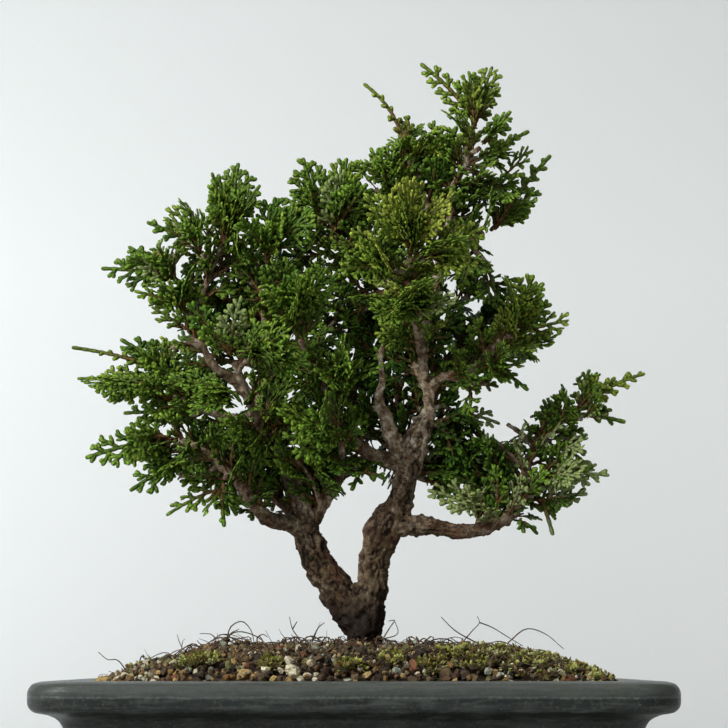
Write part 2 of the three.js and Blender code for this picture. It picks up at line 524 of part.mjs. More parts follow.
// Every rib first, then the leaflets in turn: a leaflet stops short of what another frond already fills.
function growFoliage() {
  const room = new Room();
  const fronds = SPRAYS.flatMap((spray, s) => spray[3].map((_, f) => {
    const owner = s * 10 + f;
    const rib = ribOf(spray, f, owner);
    for (let k = 0; k <= LEAF.ribFeelers; k++) room.take(rib.curve.getPoint(k / LEAF.ribFeelers), owner);
    return { spray: s, owner, rib, stations: stationsOf(rib), leaflets: [] };
  }));
  for (let step = 1; step <= LEAF.mostSteps - 2; step++) {
    for (const frond of fronds.filter(({ rib }) => step <= rib.steps - 2)) {
      const found = LEAF.shares.map((share) => leafletOf(frond.rib, frond.stations, step, share))
        .find((leaflet) => feelersOf(leaflet).every((p) => room.isFree(p, frond.owner)));
      if (!found || found.length < LEAF.least) continue;
      feelersOf(found).forEach((p) => room.take(p, frond.owner));
      frond.leaflets.push(found);
    }
  }
  return fronds;
}

// A thin closed solid on both sides of a sheet of triangles, each point with its own way up.
function thicken(points, ups, triangles, thickness) {
  const n = points.length;
  const skins = [0.5, -0.5].flatMap((share) => (
    points.map((p, i) => p.clone().addScaledVector(ups[i], share * thickness))
  ));
  const faces = triangles.flatMap(([a, b, c]) => [[a, b, c], [c + n, b + n, a + n]]);
  const edges = new Map();
  for (const [p, q] of triangles.flatMap(([a, b, c]) => [[a, b], [b, c], [c, a]])) {
    if (!edges.delete(`${q},${p}`)) edges.set(`${p},${q}`, [p, q]);
  }
  for (const [p, q] of edges.values()) faces.push([q, p, p + n], [q, p + n, q + n]);
  return solidOf(geometryOf(skins, faces));
}

function frondSolid({ stations, leaflets }) {
  const points = stations.map(({ point }) => point);
  const ups = stations.map(({ up }) => up);
  const triangles = [];
  // Corners run clockwise, seen from above, on the side that the across direction points to.
  const face = (side, corners) => {
    const turned = side > 0 ? [...corners].reverse() : corners;
    for (let i = 1; i + 1 < turned.length; i++) triangles.push([turned[0], turned[i], turned[i + 1]]);
  };
  for (let k = 0; k + 2 < stations.length; k++) face(stations[k].side, [k, k + 2, k + 1]);
  for (const { step, side, up, corners } of leaflets) {
    const first = points.push(...corners) - 2;
    ups.push(up, up);
    face(side, [step, first, first + 1, step + 2]);
  }
  const last = stations.length - 1;
  const { along, across, up, side } = stations[last];
  const tips = [LEAF.tipWide, -LEAF.tipWide].map((wide) => (
    points[last].clone().addScaledVector(along, LEAF.tipLong).addScaledVector(across, side * wide)
  ));
  const first = points.push(...tips) - 2;
  ups.push(up, up);
  face(side, [last, first, first + 1, last - 1]);
  return thicken(points, ups, triangles, LEAF.thickness);
}

function stemSolid(spray) {
  const carrier = carrierOf(spray);
  const tangent = carrier.getTangent(1);
  const start = carrier.getPoint(1).addScaledVector(tangent, GAP);
  const line = new THREE.LineCurve3(start, start.clone().addScaledVector(tangent, STEM.length));
  return tube(line, () => STEM.radius, STEM.sides, 1, 0);
}

// ---------- materials and the whole ----------

const finish = (color, roughness) => new THREE.MeshStandardMaterial({ color, roughness });
const glaze = finish(0x2c3639, 0.35);
const bark = finish(0x66503f, 0.9);
const earth = finish(0x6b5337, 0.95);
const plastic = finish(0x2a2c2a, 0.6);
const leafGreen = finish(0x3f6a28, 0.55);
const leafBright = finish(0x6f8f33, 0.55);

const bonsai = new THREE.Group();
bonsai.name = 'hinoki_bonsai';
bonsai.add(meshOf(potSolid(), 'pot', glaze));
bonsai.add(meshOf(screenSolid(-POT.drainX), 'drain_screen_left', plastic));
bonsai.add(meshOf(screenSolid(POT.drainX), 'drain_screen_right', plastic));
bonsai.add(meshOf(soilSolid(trunkHole()), 'soil', earth));
bonsai.add(meshOf(woodSolid(0), 'trunk_and_branches', bark));

const woodRoom = woodSolid(GAP);
const fronds = growFoliage();
SPRAYS.forEach((spray, s) => {
  const blades = fronds.filter((frond) => frond.spray === s).map(frondSolid);
  const solid = largest(fused([stemSolid(spray), ...blades]).subtract(woodRoom));
  bonsai.add(meshOf(solid, spray[0], spray[0].includes('bright') ? leafBright : leafGreen));
});

export default bonsai;
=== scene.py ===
"""Looks of a hinoki cypress bonsai in its pot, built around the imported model.

Shapes are worked out in millimetres and put into their meshes in metres.
"""
import math
from dataclasses import dataclass
import bpy
import numpy as np
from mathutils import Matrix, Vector


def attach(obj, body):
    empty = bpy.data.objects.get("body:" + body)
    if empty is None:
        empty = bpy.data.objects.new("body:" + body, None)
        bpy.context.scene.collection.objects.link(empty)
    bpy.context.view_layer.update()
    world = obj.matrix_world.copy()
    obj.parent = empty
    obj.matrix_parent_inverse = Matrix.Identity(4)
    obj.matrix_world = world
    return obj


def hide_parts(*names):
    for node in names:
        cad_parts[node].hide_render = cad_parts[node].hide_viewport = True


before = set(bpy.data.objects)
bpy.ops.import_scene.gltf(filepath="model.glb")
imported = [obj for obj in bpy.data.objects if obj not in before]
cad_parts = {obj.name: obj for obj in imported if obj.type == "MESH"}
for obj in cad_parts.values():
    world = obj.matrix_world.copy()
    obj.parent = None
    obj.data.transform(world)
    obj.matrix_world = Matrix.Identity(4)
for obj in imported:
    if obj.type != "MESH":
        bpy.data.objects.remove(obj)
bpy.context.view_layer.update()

MM = 0.001
UP = np.array([0.0, 0.0, 1.0])
rng = np.random.default_rng(7)

# ---------- sizes, in millimetres ----------

# The tree's limbs, root to tip: x, y, z and radius of each point that the limb passes.
LIMBS = {
    "trunk_right": [
        (3, 0, 48, 4.6), (3, 0, 60, 5.2), (3, 0, 74, 5.9), (3.6, 0, 82, 6.1), (5.7, 0, 91, 4.7),
        (6.5, 0, 100, 4.3), (8.0, 0, 106, 5.4), (11.5, 0, 112, 5.6), (14.9, 0, 119, 4.8),
        (16.5, 0, 126, 4.5), (17.6, 0.5, 134, 4.8),
    ],
    "trunk_left": [
        (2.0, 1, 77, 5.3), (-3.5, 2, 85, 6.2), (-8.0, 3, 92, 5.3), (-12.0, 4, 98, 4.9),
        (-14.6, 5, 104, 5.0), (-16, 6, 110, 4.7), (-17.2, 7, 116, 4.3), (-19.5, 8, 123, 3.5),
        (-23.5, 9, 132, 3.0), (-29, 9, 142, 2.5), (-34, 8, 151, 2.2), (-40, 6, 160, 2.3),
        (-47, 4, 164, 1.7), (-51, 3, 171, 1.2), (-52, 2, 182, 1.1), (-50, 1, 194, 1.1), (-45, 0, 205, 1.0),
    ],
    "fork_collar": [(-4, 2, 87.5, 3.3), (0, 1, 88.8, 3.1), (4, 0, 90, 3.3)],
    "stub": [
        (16.5, 0, 131, 3.4), (12.6, -2, 140, 2.5), (10.2, -3, 146, 2.4), (7.8, -3.5, 153, 1.6),
        (9.2, -4, 159, 1.3), (8.6, -4, 165, 0.9), (9.6, -4, 172, 0.7),
    ],
    "leader": [
        (17.6, 0.5, 131, 4.0), (20.2, 0, 138, 4.4), (22.8, 0, 143.5, 3.9), (24.6, 0, 149, 2.1),
        (24.4, 0, 155, 1.7), (22.8, 1, 160.5, 1.9), (22, 1.6, 165.5, 2.5), (22.6, 2, 170, 1.8),
        (24.5, 3, 181, 1.8), (27.5, 3, 195, 1.8), (31, 3, 207, 1.7), (32.3, 3, 217, 1.6), (33, 2, 225, 1.5),
        (37, 1, 233, 1.3), (40, 0, 244.5, 1.1),
    ],
    "right_low": [
        (11, 0, 110.2, 4.2), (19, -2, 110.9, 3.5), (27, -4, 110.1, 3.0), (34, -5, 108.8, 2.7),
        (41, -6, 109.0, 2.3), (47, -6, 110.8, 2.0), (52, -4, 114, 1.8), (55, -1, 121, 1.7),
        (57, 1, 129, 1.5), (60, 3, 137, 1.4), (66, 3, 143.5, 1.2), (72, 2, 147.5, 1.1),
    ],
    "right_mid": [
        (23.8, 1, 156, 1.8), (30, -2, 160.5, 1.4), (38, -5, 162, 1.2), (44, -8, 167, 1.1),
        (50, -10, 173, 1.0),
    ],
    "red": [
        (16, 0, 130.5, 3.0), (8, -2, 133.4, 2.6), (2.5, -4, 136, 2.3), (-2.5, -6, 140.4, 2.0),
        (-7.5, -9, 146, 1.7), (-9.6, -12, 153, 1.5), (-12, -15, 160, 1.3), (-18, -20.5, 170.5, 1.1),
    ],
    "left_low": [
        (-14.6, 6, 106, 3.4), (-21, 2, 111.2, 2.9), (-28.5, -4, 112.6, 2.5), (-33.5, -8, 117.5, 2.2),
        (-38, -11, 124, 1.9), (-44, -13, 130, 1.6), (-50, -14, 134.5, 1.3), (-57, -14, 137.5, 1.1),
    ],
    "left_inner": [
        (-15, 7, 110, 2.8), (-11.2, 4, 117, 1.9), (-7.5, 0, 122, 1.6), (-4.6, -6, 128, 1.4),
        (-4.5, -15, 137.5, 1.1),
    ],
    "left_back": [(-17.5, 8, 116, 2.4), (-24, 13, 118.6, 1.9), (-29, 19, 124, 1.6), (-36.5, 27, 135, 1.2)],
    "left_out": [(-33, 8, 149, 1.9), (-41, 2, 147, 1.5), (-50, -3, 149, 1.3), (-60, -6, 154.5, 1.1)],
    "left_front": [(-23, 9, 131, 2.0), (-27, -4, 138, 1.6), (-33, -14, 147, 1.4), (-39, -24, 162, 1.1)],
    "left_up": [(-33, 8, 149.5, 1.9), (-31, 4, 162, 1.6), (-30.5, 1, 178, 1.4), (-30, -1, 197, 1.1)],
    "left_rear": [(-29, 9, 142, 2.0), (-27, 18, 151, 1.5), (-25, 26, 164, 1.3), (-25, 31.5, 186, 1.1)],
    "top_left": [(24.5, 3, 181, 1.8), (15, 6, 191, 1.5), (5, 8, 200, 1.3), (-5, 7, 208, 1.1)],
    "crown_up": [(31, 3, 207, 1.5), (25, 3, 219, 1.3), (18.5, 3, 236, 1.1)],
    "right_up": [(31, 3, 206, 1.5), (38, 4, 208.5, 1.2), (44, 5, 211, 1.0)],
    "front_up": [(23, 2, 167, 1.9), (21, -9, 174, 1.5), (19, -18, 183, 1.3), (18, -27, 196, 1.1)],
    "back_up": [(24, 3, 175, 1.9), (20, 13, 183, 1.5), (12.5, 24, 199, 1.1)],
    "back_right": [(23.7, 1, 159, 2.0), (31, 10, 165, 1.5), (41, 19, 179, 1.1)],
}
# Foliage sprays: name, the limb that bears it, its heart, and the tips of its main fronds with their
# breadth. The first spray of a limb grows from the limb's end, and the others from twigs along it.
SPRAYS = [
    ("left_tip_spray", "left_low", (-66, -14, 136),
     [(-88, -15, 132, 0.7), (-76, -3, 134, 0.8), (-73, -30, 137, 1)]),
    ("low_left_spray", "left_low", (-44, -17, 124),
     [(-61, -19, 113, 0.8), (-42, -24, 109, 0.7), (-35, -14, 116, 0.5)]),
    ("low_left_fan", "left_low", (-56, -13, 131),
     [(-73, -18, 121, 1), (-70, -4, 130, 0.9), (-60, -32, 127, 1)]),
    ("left_shoots", "left_out", (-74, -7, 158), [(-92, -9, 159, 0.22), (-79, -12, 153, 0.7)]),
    ("left_middle_spray", "left_out", (-58, 2, 147),
     [(-78, 4, 149, 0.8), (-63, 18, 148, 0.9), (-55, -12, 155, 1)]),
    ("left_high_fan", "left_out", (-63, 1, 164),
     [(-79, 0, 173.5, 0.9), (-65, 13, 176, 1), (-71, -14, 167, 0.8), (-95, -2, 170.5, 0.2)]),
    ("upper_left_peak", "trunk_left", (-43, -1, 214),
     [(-48.5, -4, 230, 0.7), (-40, 1, 234.5, 0.9), (-32, -9, 224.5, 0.8)]),
    ("left_shoulder_spray", "trunk_left", (-58, 10, 177), [(-70, 14, 187, 0.9), (-60, 20, 191, 1)]),
    ("upper_left_low", "trunk_left", (-60, -4, 185),
     [(-74, -6, 189, 0.9), (-66, -18, 183.5, 0.8), (-54, -22, 193, 1)]),
    ("upper_left_tip", "trunk_left", (-62, 3, 196),
     [(-86, 1, 198, 0.8), (-77.5, 6, 206.5, 0.9), (-66, -12, 203, 0.9)]),
    ("upper_left_high", "trunk_left", (-54, -3, 205),
     [(-70, -6, 212.5, 0.8), (-62.5, 6, 221, 1), (-50, -18, 213, 1)]),
    ("centre_left_top", "left_up", (-29, -3, 206),
     [(-27, -6, 221, 1.1), (-14, -10, 216, 1.1), (-38, -15, 212, 1)]),
    ("crown_middle", "top_left", (-3, 8, 218), [(-3, 6, 237.5, 1), (6, 18, 227, 1), (4, -9, 225, 1)]),
    ("notch_spray", "top_left", (-14, 6, 217), [(-18, 4, 237, 1), (-25, 18, 226, 1)]),
    ("slender_shoot", "crown_up", (24, 3, 254), [(3, 1, 262.5, 0.25), (17, 5, 252, 0.6)]),
    ("crown_shoulder", "crown_up", (10, 2, 227), [(11, 2, 241, 0.9), (-2, -12, 231, 1), (18, -11, 234, 1)]),
    ("left_of_apex", "crown_up", (26, 3, 234), [(27, 3, 250, 1), (31, -13, 241, 1), (30, 16, 243, 1)]),
    ("apex_spray", "leader", (42, 0, 255), [(47, 1, 268.5, 1), (22.5, -1, 269, 0.6), (49.5, 3, 261, 0.8)]),
    ("apex_side", "leader", (45, -5, 240), [(53, -2, 252, 1), (50, -18, 245, 1)]),
    ("right_top_shoot", "leader", (44, 3, 237), [(59.5, 2, 246, 0.4), (53, 9, 233, 0.8)]),
    ("right_upper_shoot", "right_up", (50, 5, 217), [(67, 4, 238, 0.4), (61, 10, 222, 0.8)]),
    ("right_upper_fill", "leader", (40, 7, 226), [(52, 14, 226, 1), (34, 24, 233, 1), (46, -10, 229, 1)]),
    ("right_shelf", "right_up", (40, 3, 201), [(47, 6, 200, 1), (42, -10, 194, 1), (38, 18, 191, 1)]),
    ("right_dark_spray", "back_right", (46, 21, 187),
     [(54, 20, 193, 0.8), (49, 40, 191, 1), (57, 8, 187, 1)]),
    ("right_bright_spray", "right_mid", (56, -13, 180),
     [(59, -16, 192.5, 1), (65.5, -9, 184, 1), (50, -32, 187, 1)]),
    ("right_edge_spray", "right_mid", (54, -3, 171), [(65, -2, 175, 0.9), (63, 12, 168, 0.8)]),
    ("right_skirt", "right_mid", (46, -11, 163),
     [(57, -14, 154.5, 0.7), (50, -28, 167, 1), (38, -24, 158, 1)]),
    ("right_hanging_spray", "leader", (35, 8, 152), [(49, 9, 146, 1), (40, 25, 144, 1), (30, 19, 137, 1)]),
    ("right_low_top", "right_low", (80, 2, 158.5), [(97.5, 1, 162, 0.5), (82, 6, 163, 0.7)]),
    ("right_low_rear", "right_low", (66, 5, 147.5),
     [(64, 8, 154, 0.9), (60, 14, 149, 0.8), (71, 8, 158, 0.5)]),
    ("right_low_end", "right_low", (79, -2, 147), [(90, -4, 145, 0.6), (81, -16, 153, 1)]),
    ("right_low_middle", "right_low", (68, 1, 138),
     [(78, 2, 141.5, 0.9), (75, -12, 134, 1), (69, 17, 134, 1)]),
    ("right_low_front", "right_low", (64, -6, 128), [(84, -7, 127, 0.9), (73, -22, 125, 1)]),
    ("right_low_skirt", "right_low", (62, -2, 120),
     [(77, -4, 121, 1), (69, 11, 117, 1), (65.5, -4, 107.5, 0.3)]),
    ("right_low_droop", "right_low", (55, -7, 114), [(60, -9, 107.5, 0.8), (55, -15, 107.5, 1)]),
    ("right_low_pale", "right_low", (43, -10, 117),
     [(24, -13, 121.5, 1.1), (32, -22, 114, 0.9), (40, -22, 121, 1)]),
    ("right_low_inner", "right_low", (50, 4, 126), [(33, 6, 129, 1), (44, -5, 140, 1), (54, 20, 131, 1)]),
    ("front_bright_spray", "front_up", (18, -32, 203),
     [(17, -41, 220, 1.1), (3, -38, 214, 1), (32, -40, 215, 1)]),
    ("front_right_spray", "front_up", (26, -28, 197),
     [(42, -34, 205, 1), (39, -40, 191, 1), (33, -52, 199, 1)]),
    ("front_left_spray", "front_up", (10, -30, 192),
     [(-1, -36, 204, 1), (-5, -43, 189, 1), (6, -53, 197, 1)]),
    ("front_low_spray", "front_up", (19, -26, 180),
     [(6, -41, 174, 1), (32, -40, 179, 1.1), (20, -52, 184, 1)]),
    ("front_upper_left", "left_front", (-43, -27, 170),
     [(-54, -33, 180, 0.8), (-36, -41, 181, 0.7), (-48, -45, 170, 0.8)]),
    ("front_middle_left", "left_front", (-33, -29, 164),
     [(-20, -41, 171, 1.1), (-14, -34, 160, 1), (-28, -50, 163, 1)]),
    ("front_low_left", "left_front", (-41, -24, 152),
     [(-60, -28, 157, 1), (-52, -40, 143, 1), (-39, -46, 150, 1)]),
    ("red_end_spray", "red", (-19, -25, 178),
     [(-27, -32, 195, 1.1), (-9, -36, 191, 1), (-18, -48, 183, 1)]),
    ("red_side_spray", "red", (-4, -20, 157), [(9, -30, 160, 1), (-3, -39, 168, 1), (-11, -38, 155, 1)]),
    ("inner_front_spray", "left_inner", (-9, -20, 142),
     [(-25, -28, 145, 1.1), (-10, -39, 148, 1), (-19, -22, 131, 1)]),
    ("inner_low_spray", "left_inner", (3, -10, 130), [(-1, -19, 121, 0.9), (10, -15, 125, 0.9)]),
    ("rear_left_spray", "left_back", (-41, 31, 140),
     [(-59, 36, 147, 1), (-46, 51, 148, 1), (-30, 50, 141, 1)]),
    ("rear_upper_left", "left_rear", (-25, 34, 196),
     [(-40, 42, 208, 1), (-11, 44, 209, 1), (-26, 55, 199, 1)]),
    ("rear_middle", "left_rear", (-34, 34, 175), [(-51, 40, 181, 1), (-33, 55, 184, 1)]),
    ("rear_low", "left_rear", (-17, 30, 161), [(-1, 41, 163, 1), (-17, 54, 168, 1), (2, 30, 149, 1.1)]),
    ("rear_top", "back_up", (8, 28, 207), [(0, 34, 224, 1), (23, 38, 218, 1), (8, 48, 211, 1)]),
    ("rear_centre", "back_up", (10, 26, 187),
     [(-8, 39, 191, 1), (9, 55, 189, 1), (27, 42, 179, 1.1), (2, 36, 171, 1)]),
    ("rear_right_low", "back_right", (43, 22, 172), [(36, 45, 176, 1), (58, 33, 170, 1), (29, 34, 160, 1)]),
]
# Thin twigs inside the crown: the spray that each bears, and the points that it passes, root to tip.
INNER_TWIGS = [
    ("rear_centre", [(24, 0.5, 148), (20, 8, 153), (14, 14, 159), (9, 18, 168)]),
    ("rear_centre", [(23.3, 1.5, 163), (17, 9, 166), (12, 16, 176)]),
    ("rear_low", [(17, 0.5, 134), (10, 9, 139), (4, 14, 147), (2, 17, 157)]),
    ("rear_low", [(17, 1, 130), (11, 10, 133), (5, 15, 138)]),
    ("right_hanging_spray", [(20, 0.5, 139), (26, 6, 141), (32, 10, 138), (39, 12, 134)]),
    ("right_hanging_spray", [(19, 0.5, 137), (25, 9, 133), (31, 14, 128)]),
    ("right_low_inner", [(57, 1, 129), (52, 4, 135), (46, 8, 141)]),
    ("right_low_inner", [(60, 3, 137), (57, 8, 142), (52, 12, 146)]),
    ("right_low_skirt", [(54.5, -1, 120), (60, 5, 118), (66, 9, 116)]),
    ("upper_left_peak", [(-50, 1, 194), (-44, 5, 199), (-38, 6, 208)]),
    ("centre_left_top", [(-30, 0, 190), (-37, 3, 195), (-43, 4, 203)]),
    ("crown_shoulder", [(26, 3, 216), (26, 6, 226), (24, 8, 237)]),
    ("right_upper_fill", [(32.3, 3, 216), (38, 7, 217), (44, 9, 222)]),
    ("right_dark_spray", [(24.5, 3, 181), (31, 9, 185), (38, 13, 190), (44, 15, 197)]),
    ("rear_low", [(-31, 4, 162), (-22, 7, 167), (-14, 8, 173), (-7, 8, 181)]),
    ("rear_left_spray", [(-23.5, 9, 132), (-30, 7, 132), (-36, 6, 136)]),
    ("low_left_spray", [(-20, 2, 111), (-25, 8, 118), (-32, 10, 123)]),
    ("low_left_fan", [(-44, -13, 130), (-51, -7, 127), (-58, -3, 127)]),
    ("inner_low_spray", [(-13, 5, 113), (-13, 10, 122), (-14, 13, 131)]),
    ("rear_low", [(-29, 9, 142), (-26, 12, 150), (-27, 14, 159)]),
    ("notch_spray", [(4, 8, 200), (-4, 8, 203), (-12, 7, 205), (-19, 6, 209)]),
    ("notch_spray", [(-30, 0, 190), (-25, 4, 196), (-20, 6, 203)]),
    ("crown_middle", [(15, 6, 191), (8, 8, 190), (1, 9, 191), (-6, 9, 195)]),
    ("crown_middle", [(12, 7, 193), (7, 5, 199), (3, 2, 207)]),
    ("crown_shoulder", [(25, 3, 216), (18, 5, 218), (12, 6, 222), (7, 7, 227)]),
    ("right_bright_spray", [(50, -10, 173), (55, -8, 174), (60, -6, 178)]),
    ("rear_low", [(17.6, 0.5, 134), (17, 8, 141), (15, 12, 149), (14, 15, 157)]),
    ("right_hanging_spray", [(20, 0.5, 139), (25, 7, 143), (29, 10, 148)]),
    ("left_middle_spray", [(-50, -3, 149), (-58, -4, 151), (-66, -4, 152.5)]),
    ("right_shelf", [(38, 4, 208), (43, 6, 203), (47, 8, 198)]),
    ("right_low_inner", [(17.5, 1, 130), (22, 6, 127), (27, 9, 127), (32, 10, 131)]),
    ("right_skirt", [(30, -2, 160.5), (37, -4, 158.5), (44, -6, 157.5)]),
    ("left_high_fan", [(-51, 3, 171), (-57, 1, 172), (-62, 0, 170.5)]),
    ("upper_left_high", [(-48.5, 0.5, 198), (-50, 2, 206), (-50, 2, 212)]),
    ("upper_left_tip", [(-52, 2, 186), (-60, 3, 193), (-66, 2, 201)]),
    ("crown_shoulder", [(22.5, 3, 226), (17, 4, 232), (13.5, 4, 238)]),
    ("right_top_shoot", [(37, 1, 233), (44, 3, 231), (50, 5, 229)]),
    ("right_low_inner", [(41, -6, 109.5), (41, 2, 117), (38, 6, 125), (36, 8, 133)]),
    ("right_low_inner", [(52, -4, 114), (50, 3, 121), (47, 7, 129), (44, 9, 138)]),
    ("right_low_inner", [(47, -6, 111), (47, -1, 118), (43, 2, 127), (37, 3, 134)]),
    ("right_low_inner", [(24, 0, 146), (30, 4, 143), (36, 6, 137), (41, 7, 131)]),
    ("low_left_spray", [(-28.5, -4, 112.6), (-32, 3, 119), (-38, 8, 124), (-45, 10, 127)]),
    ("low_left_fan", [(-38, -11, 124), (-43, -4, 129), (-48, 2, 134)]),
    ("inner_front_spray", [(-11, 4, 117), (-14, -2, 125), (-20, -6, 133)]),
    ("inner_front_spray", [(-7, 0, 122), (-12, 2, 131), (-16, 2, 140)]),
    ("rear_middle", [(-26, 28, 170), (-33, 27, 177), (-39, 25, 181), (-45, 23, 184)]),
    ("rear_middle", [(-30, 24, 165), (-37, 21, 168), (-44, 20, 169), (-50, 19, 171)]),
    ("rear_middle", [(-26, 29, 172), (-30, 24, 180), (-36, 21, 187), (-43, 19, 192)]),
    ("rear_left_spray", [(-30, 20, 125), (-35, 17, 132), (-39, 15, 138)]),
    ("rear_centre", [(15, 11, 168), (9, 15, 171), (3, 18, 174), (-3, 20, 179)]),
    ("rear_low", [(4, 16, 150), (2, 20, 158), (-1, 22, 166), (-4, 23, 173)]),
    ("crown_middle", [(8, 8, 190), (2, 12, 185), (-4, 15, 182)]),
    ("front_low_left", [(-24, 6, 133), (-26, -3, 138), (-29, -11, 141), (-33, -17, 143)]),
]
# How grey and weathered each limb's bark is, where it isn't as usual; the leader's is also painted light.
USUAL_GREY = 0.35
GREYNESS = {
    "trunk_right": 0.08, "trunk_left": 0.08, "fork_collar": 0.05, "stub": 0.8, "leader": 0.85,
    "right_low": 0.12, "red": 0.15, "left_out": 0.65, "left_low": 0.1, "left_inner": 0.1, "right_mid": 0.4,
}
# How knobbly each limb is, where it isn't as usual.
USUAL_KNOBS = 0.35
KNOBS = {
    "trunk_right": 0.3, "trunk_left": 0.45, "stub": 1.2, "leader": 1.1, "right_low": 0.9, "right_mid": 0.9,
    "left_out": 0.9, "left_low": 0.7,
}
# The limbs that are thick enough to be joined in one skin.
THICK = [
    "trunk_right", "trunk_left", "fork_collar", "stub", "leader", "right_low", "red", "left_low",
    "left_inner",
]
# Pale scars where twigs broke off: x, y, z and reach.
SCARS = [(5.2, -2.4, 111.6, 1.1), (25, -2.6, 147.5, 1.3)]
# How light and yellow each spray's green is, from 0 to 1, where it isn't as usual: partly the
# yellower young growth outside and older darker foliage inside, partly painted light and shade, lighter
# on the front sprays and darker on the rear and inner ones.
USUAL_BRIGHT = 0.42
BRIGHT = {
    "front_bright_spray": 0.75, "front_right_spray": 0.68, "front_left_spray": 0.62,
    "front_low_spray": 0.55, "front_middle_left": 0.5, "red_end_spray": 0.48, "apex_spray": 0.62,
    "slender_shoot": 0.6, "right_top_shoot": 0.55, "right_dark_spray": 0.1, "right_hanging_spray": 0.1,
    "rear_centre": 0.1, "rear_low": 0.1, "rear_middle": 0.2, "left_of_apex": 0.5,
    "right_bright_spray": 0.65, "right_low_pale": 0.6, "left_high_fan": 0.45, "low_left_spray": 0.2,
    "inner_low_spray": 0.1, "right_low_skirt": 0.2, "right_low_droop": 0.2, "right_low_inner": 0.1,
    "right_low_middle": 0.2, "right_low_front": 0.3, "right_low_rear": 0.3, "right_low_end": 0.35,
    "right_low_top": 0.55, "low_left_fan": 0.3,
}
# The share of a spray's fronds that turn their pale, waxy underside to the front, where it isn't as usual.
USUAL_PALE = 0.015
PALE = {
    "right_low_pale": 1.0, "right_low_middle": 0.65, "right_low_front": 0.65, "right_low_end": 0.12,
    "right_low_skirt": 0.45, "right_low_rear": 0.25, "right_low_inner": 0.12, "upper_left_tip": 0.1,
    "upper_left_low": 0.06, "right_low_top": 0.1, "apex_spray": 0.0, "slender_shoot": 0.0,
}
# Half the pot's length and depth at its lip, and its corners' radius there, which gets less further in.
POT_HALF = (98.3, 75)
POT_CORNER = 15.0
LEAST_CORNER = 3.0
# The pot's outside from above its feet up to the top of its lip: height and inset.
POT_OUTSIDE = [
    (8, 14), (9.5, 12.8), (26, 11.6), (43, 10.8), (46.2, 10.0), (48.4, 8.6), (49.9, 5.8), (50.9, 1.8),
    (52.6, 0.3), (55, 0), (57.4, 0.2), (59.2, 1.4), (60, 3.8),
]
# Its inside from the lip down to the floor: height and inset.
POT_INSIDE = [(60, 12.4), (59.2, 14.3), (57, 15), (38, 15.6), (18, 17.4), (14, 22)]
POT_FLOOR = 14
# The feet: what is left of an upright rim that is cut away within gap_x and within gap_y of the middle.
FOOT = {"height": 8, "inset": 14.5, "width": 14, "gap_x": 52, "gap_y": 34}
DRAIN = {"x": 42, "radius": 8}
# The soil: height at the wall, rise in the middle, half its length and depth, and the powers of its fall to
# the wall.
SOIL_EDGE = 58.2
SOIL_RISE = 12.4
SOIL_HALF = (83, 61)
SOIL_FLAT = (3.4, 4)
HUMPS = [  # x, y, reach and rise
    (-43, -6, 12, 2.6), (50, -8, 16, 1.0), (-68, -16, 10, -1.4), (-22, -8, 10, -0.8), (24, -20, 12, -0.8),
]
LOOSE_HALF = (81.5, 58.2)  # grains lie within this half length and half depth
TRUNK_X = 3
TRUNK_CLEAR = 7.5  # no grains this near to the trunk's middle
GRAIN_PITCH = 2.75
GRAIN_RADIUS = 1.28  # half of the grains are smaller
FRONT_EDGE = -50  # most grains before this line have the paler mix of colours
# How many there are of each.
CRUMBS = 1700
FIBRES = 260
ROOTLETS = 110
ROSETTES = 15  # in a patch of moss
LEAFLETS = 13  # in a rosette
# Middle and spread along x of every third rootlet and of the others.
LEFT_ROOTLETS = (-34, 14)
OTHER_ROOTLETS = (16, 28)
FIBRE_RADIUS = 0.13
# Rootlets that stand up from the soil.
TALL_ROOTLETS = [
    [(40, -4, 72), (33, -4, 76), (28.3, -5, 80.5)],
    [(35, -8, 72), (38.5, -8, 76), (40.7, -9, 78.6), (40, -9, 80.6)],
    [(40.7, -9, 78.6), (45, -7, 77), (50, -6, 74), (55, -6, 71)],
    [(9, -6, 73), (11.5, -7, 77), (13, -8, 79.3), (11, -9, 79)],
    [(8, -8, 73), (14, -9, 75), (13, -9, 79.3)],
    [(50, -8, 72), (56, -9, 76.5), (62, -9, 75), (68, -10, 70)],
    [(-42, -4, 71), (-41, -5, 77), (-37, -6, 79), (-34, -6, 76), (-33, -6, 72)],
    [(-45, -6, 71), (-39, -8, 75.5), (-33, -8, 74.5), (-28, -8, 71)],
    [(-18, -4, 73), (-20.5, -4, 76.5), (-21.5, -5, 80.5)],
    [(-20.5, -4, 76.5), (-19, -4, 79)],
    [(-14, -4, 73), (-12, -4, 77), (-10, -5, 78.6)],
    [(-74, -12, 63), (-77, -13, 66.5), (-80, -13, 66.6), (-83, -14, 69)],
]
# Grain colours and how many in a hundred have each.
GRAINS = [
    ("#66533a", 24), ("#8a7148", 16), ("#3f3325", 20), ("#ae945f", 12), ("#d9d0b2", 9), ("#1a1714", 8),
    ("#747042", 10), ("#7b4f33", 4), ("#9ba28c", 5),
]
FRONT_GRAINS = [
    ("#e0d7b4", 16), ("#b99b60", 16), ("#94733f", 16), ("#a9b09c", 10), ("#6b4f35", 22), ("#442f21", 14),
]
# Moss: x, y, reach of each patch, in millimetres.
MOSS = [
    (30, -46, 8), (38, -38, 8), (44, -50, 9), (52, -42, 10), (60, -50, 9), (66, -40, 9), (73, -48, 8),
    (77, -36, 7), (56, -28, 9), (44, -24, 8), (70, -24, 8), (-50, -48, 4), (-49, -46, 4), (-46, -46, 4),
    (-47, -43, 4), (-2, -52, 4), (22, -53, 4), (62, -8, 8), (30, 30, 9), (-40, 34, 10), (58, 26, 9),
    (-70, -6, 6), (5, 44, 8), (-26, -50, 3), (12, -47, 4),
]
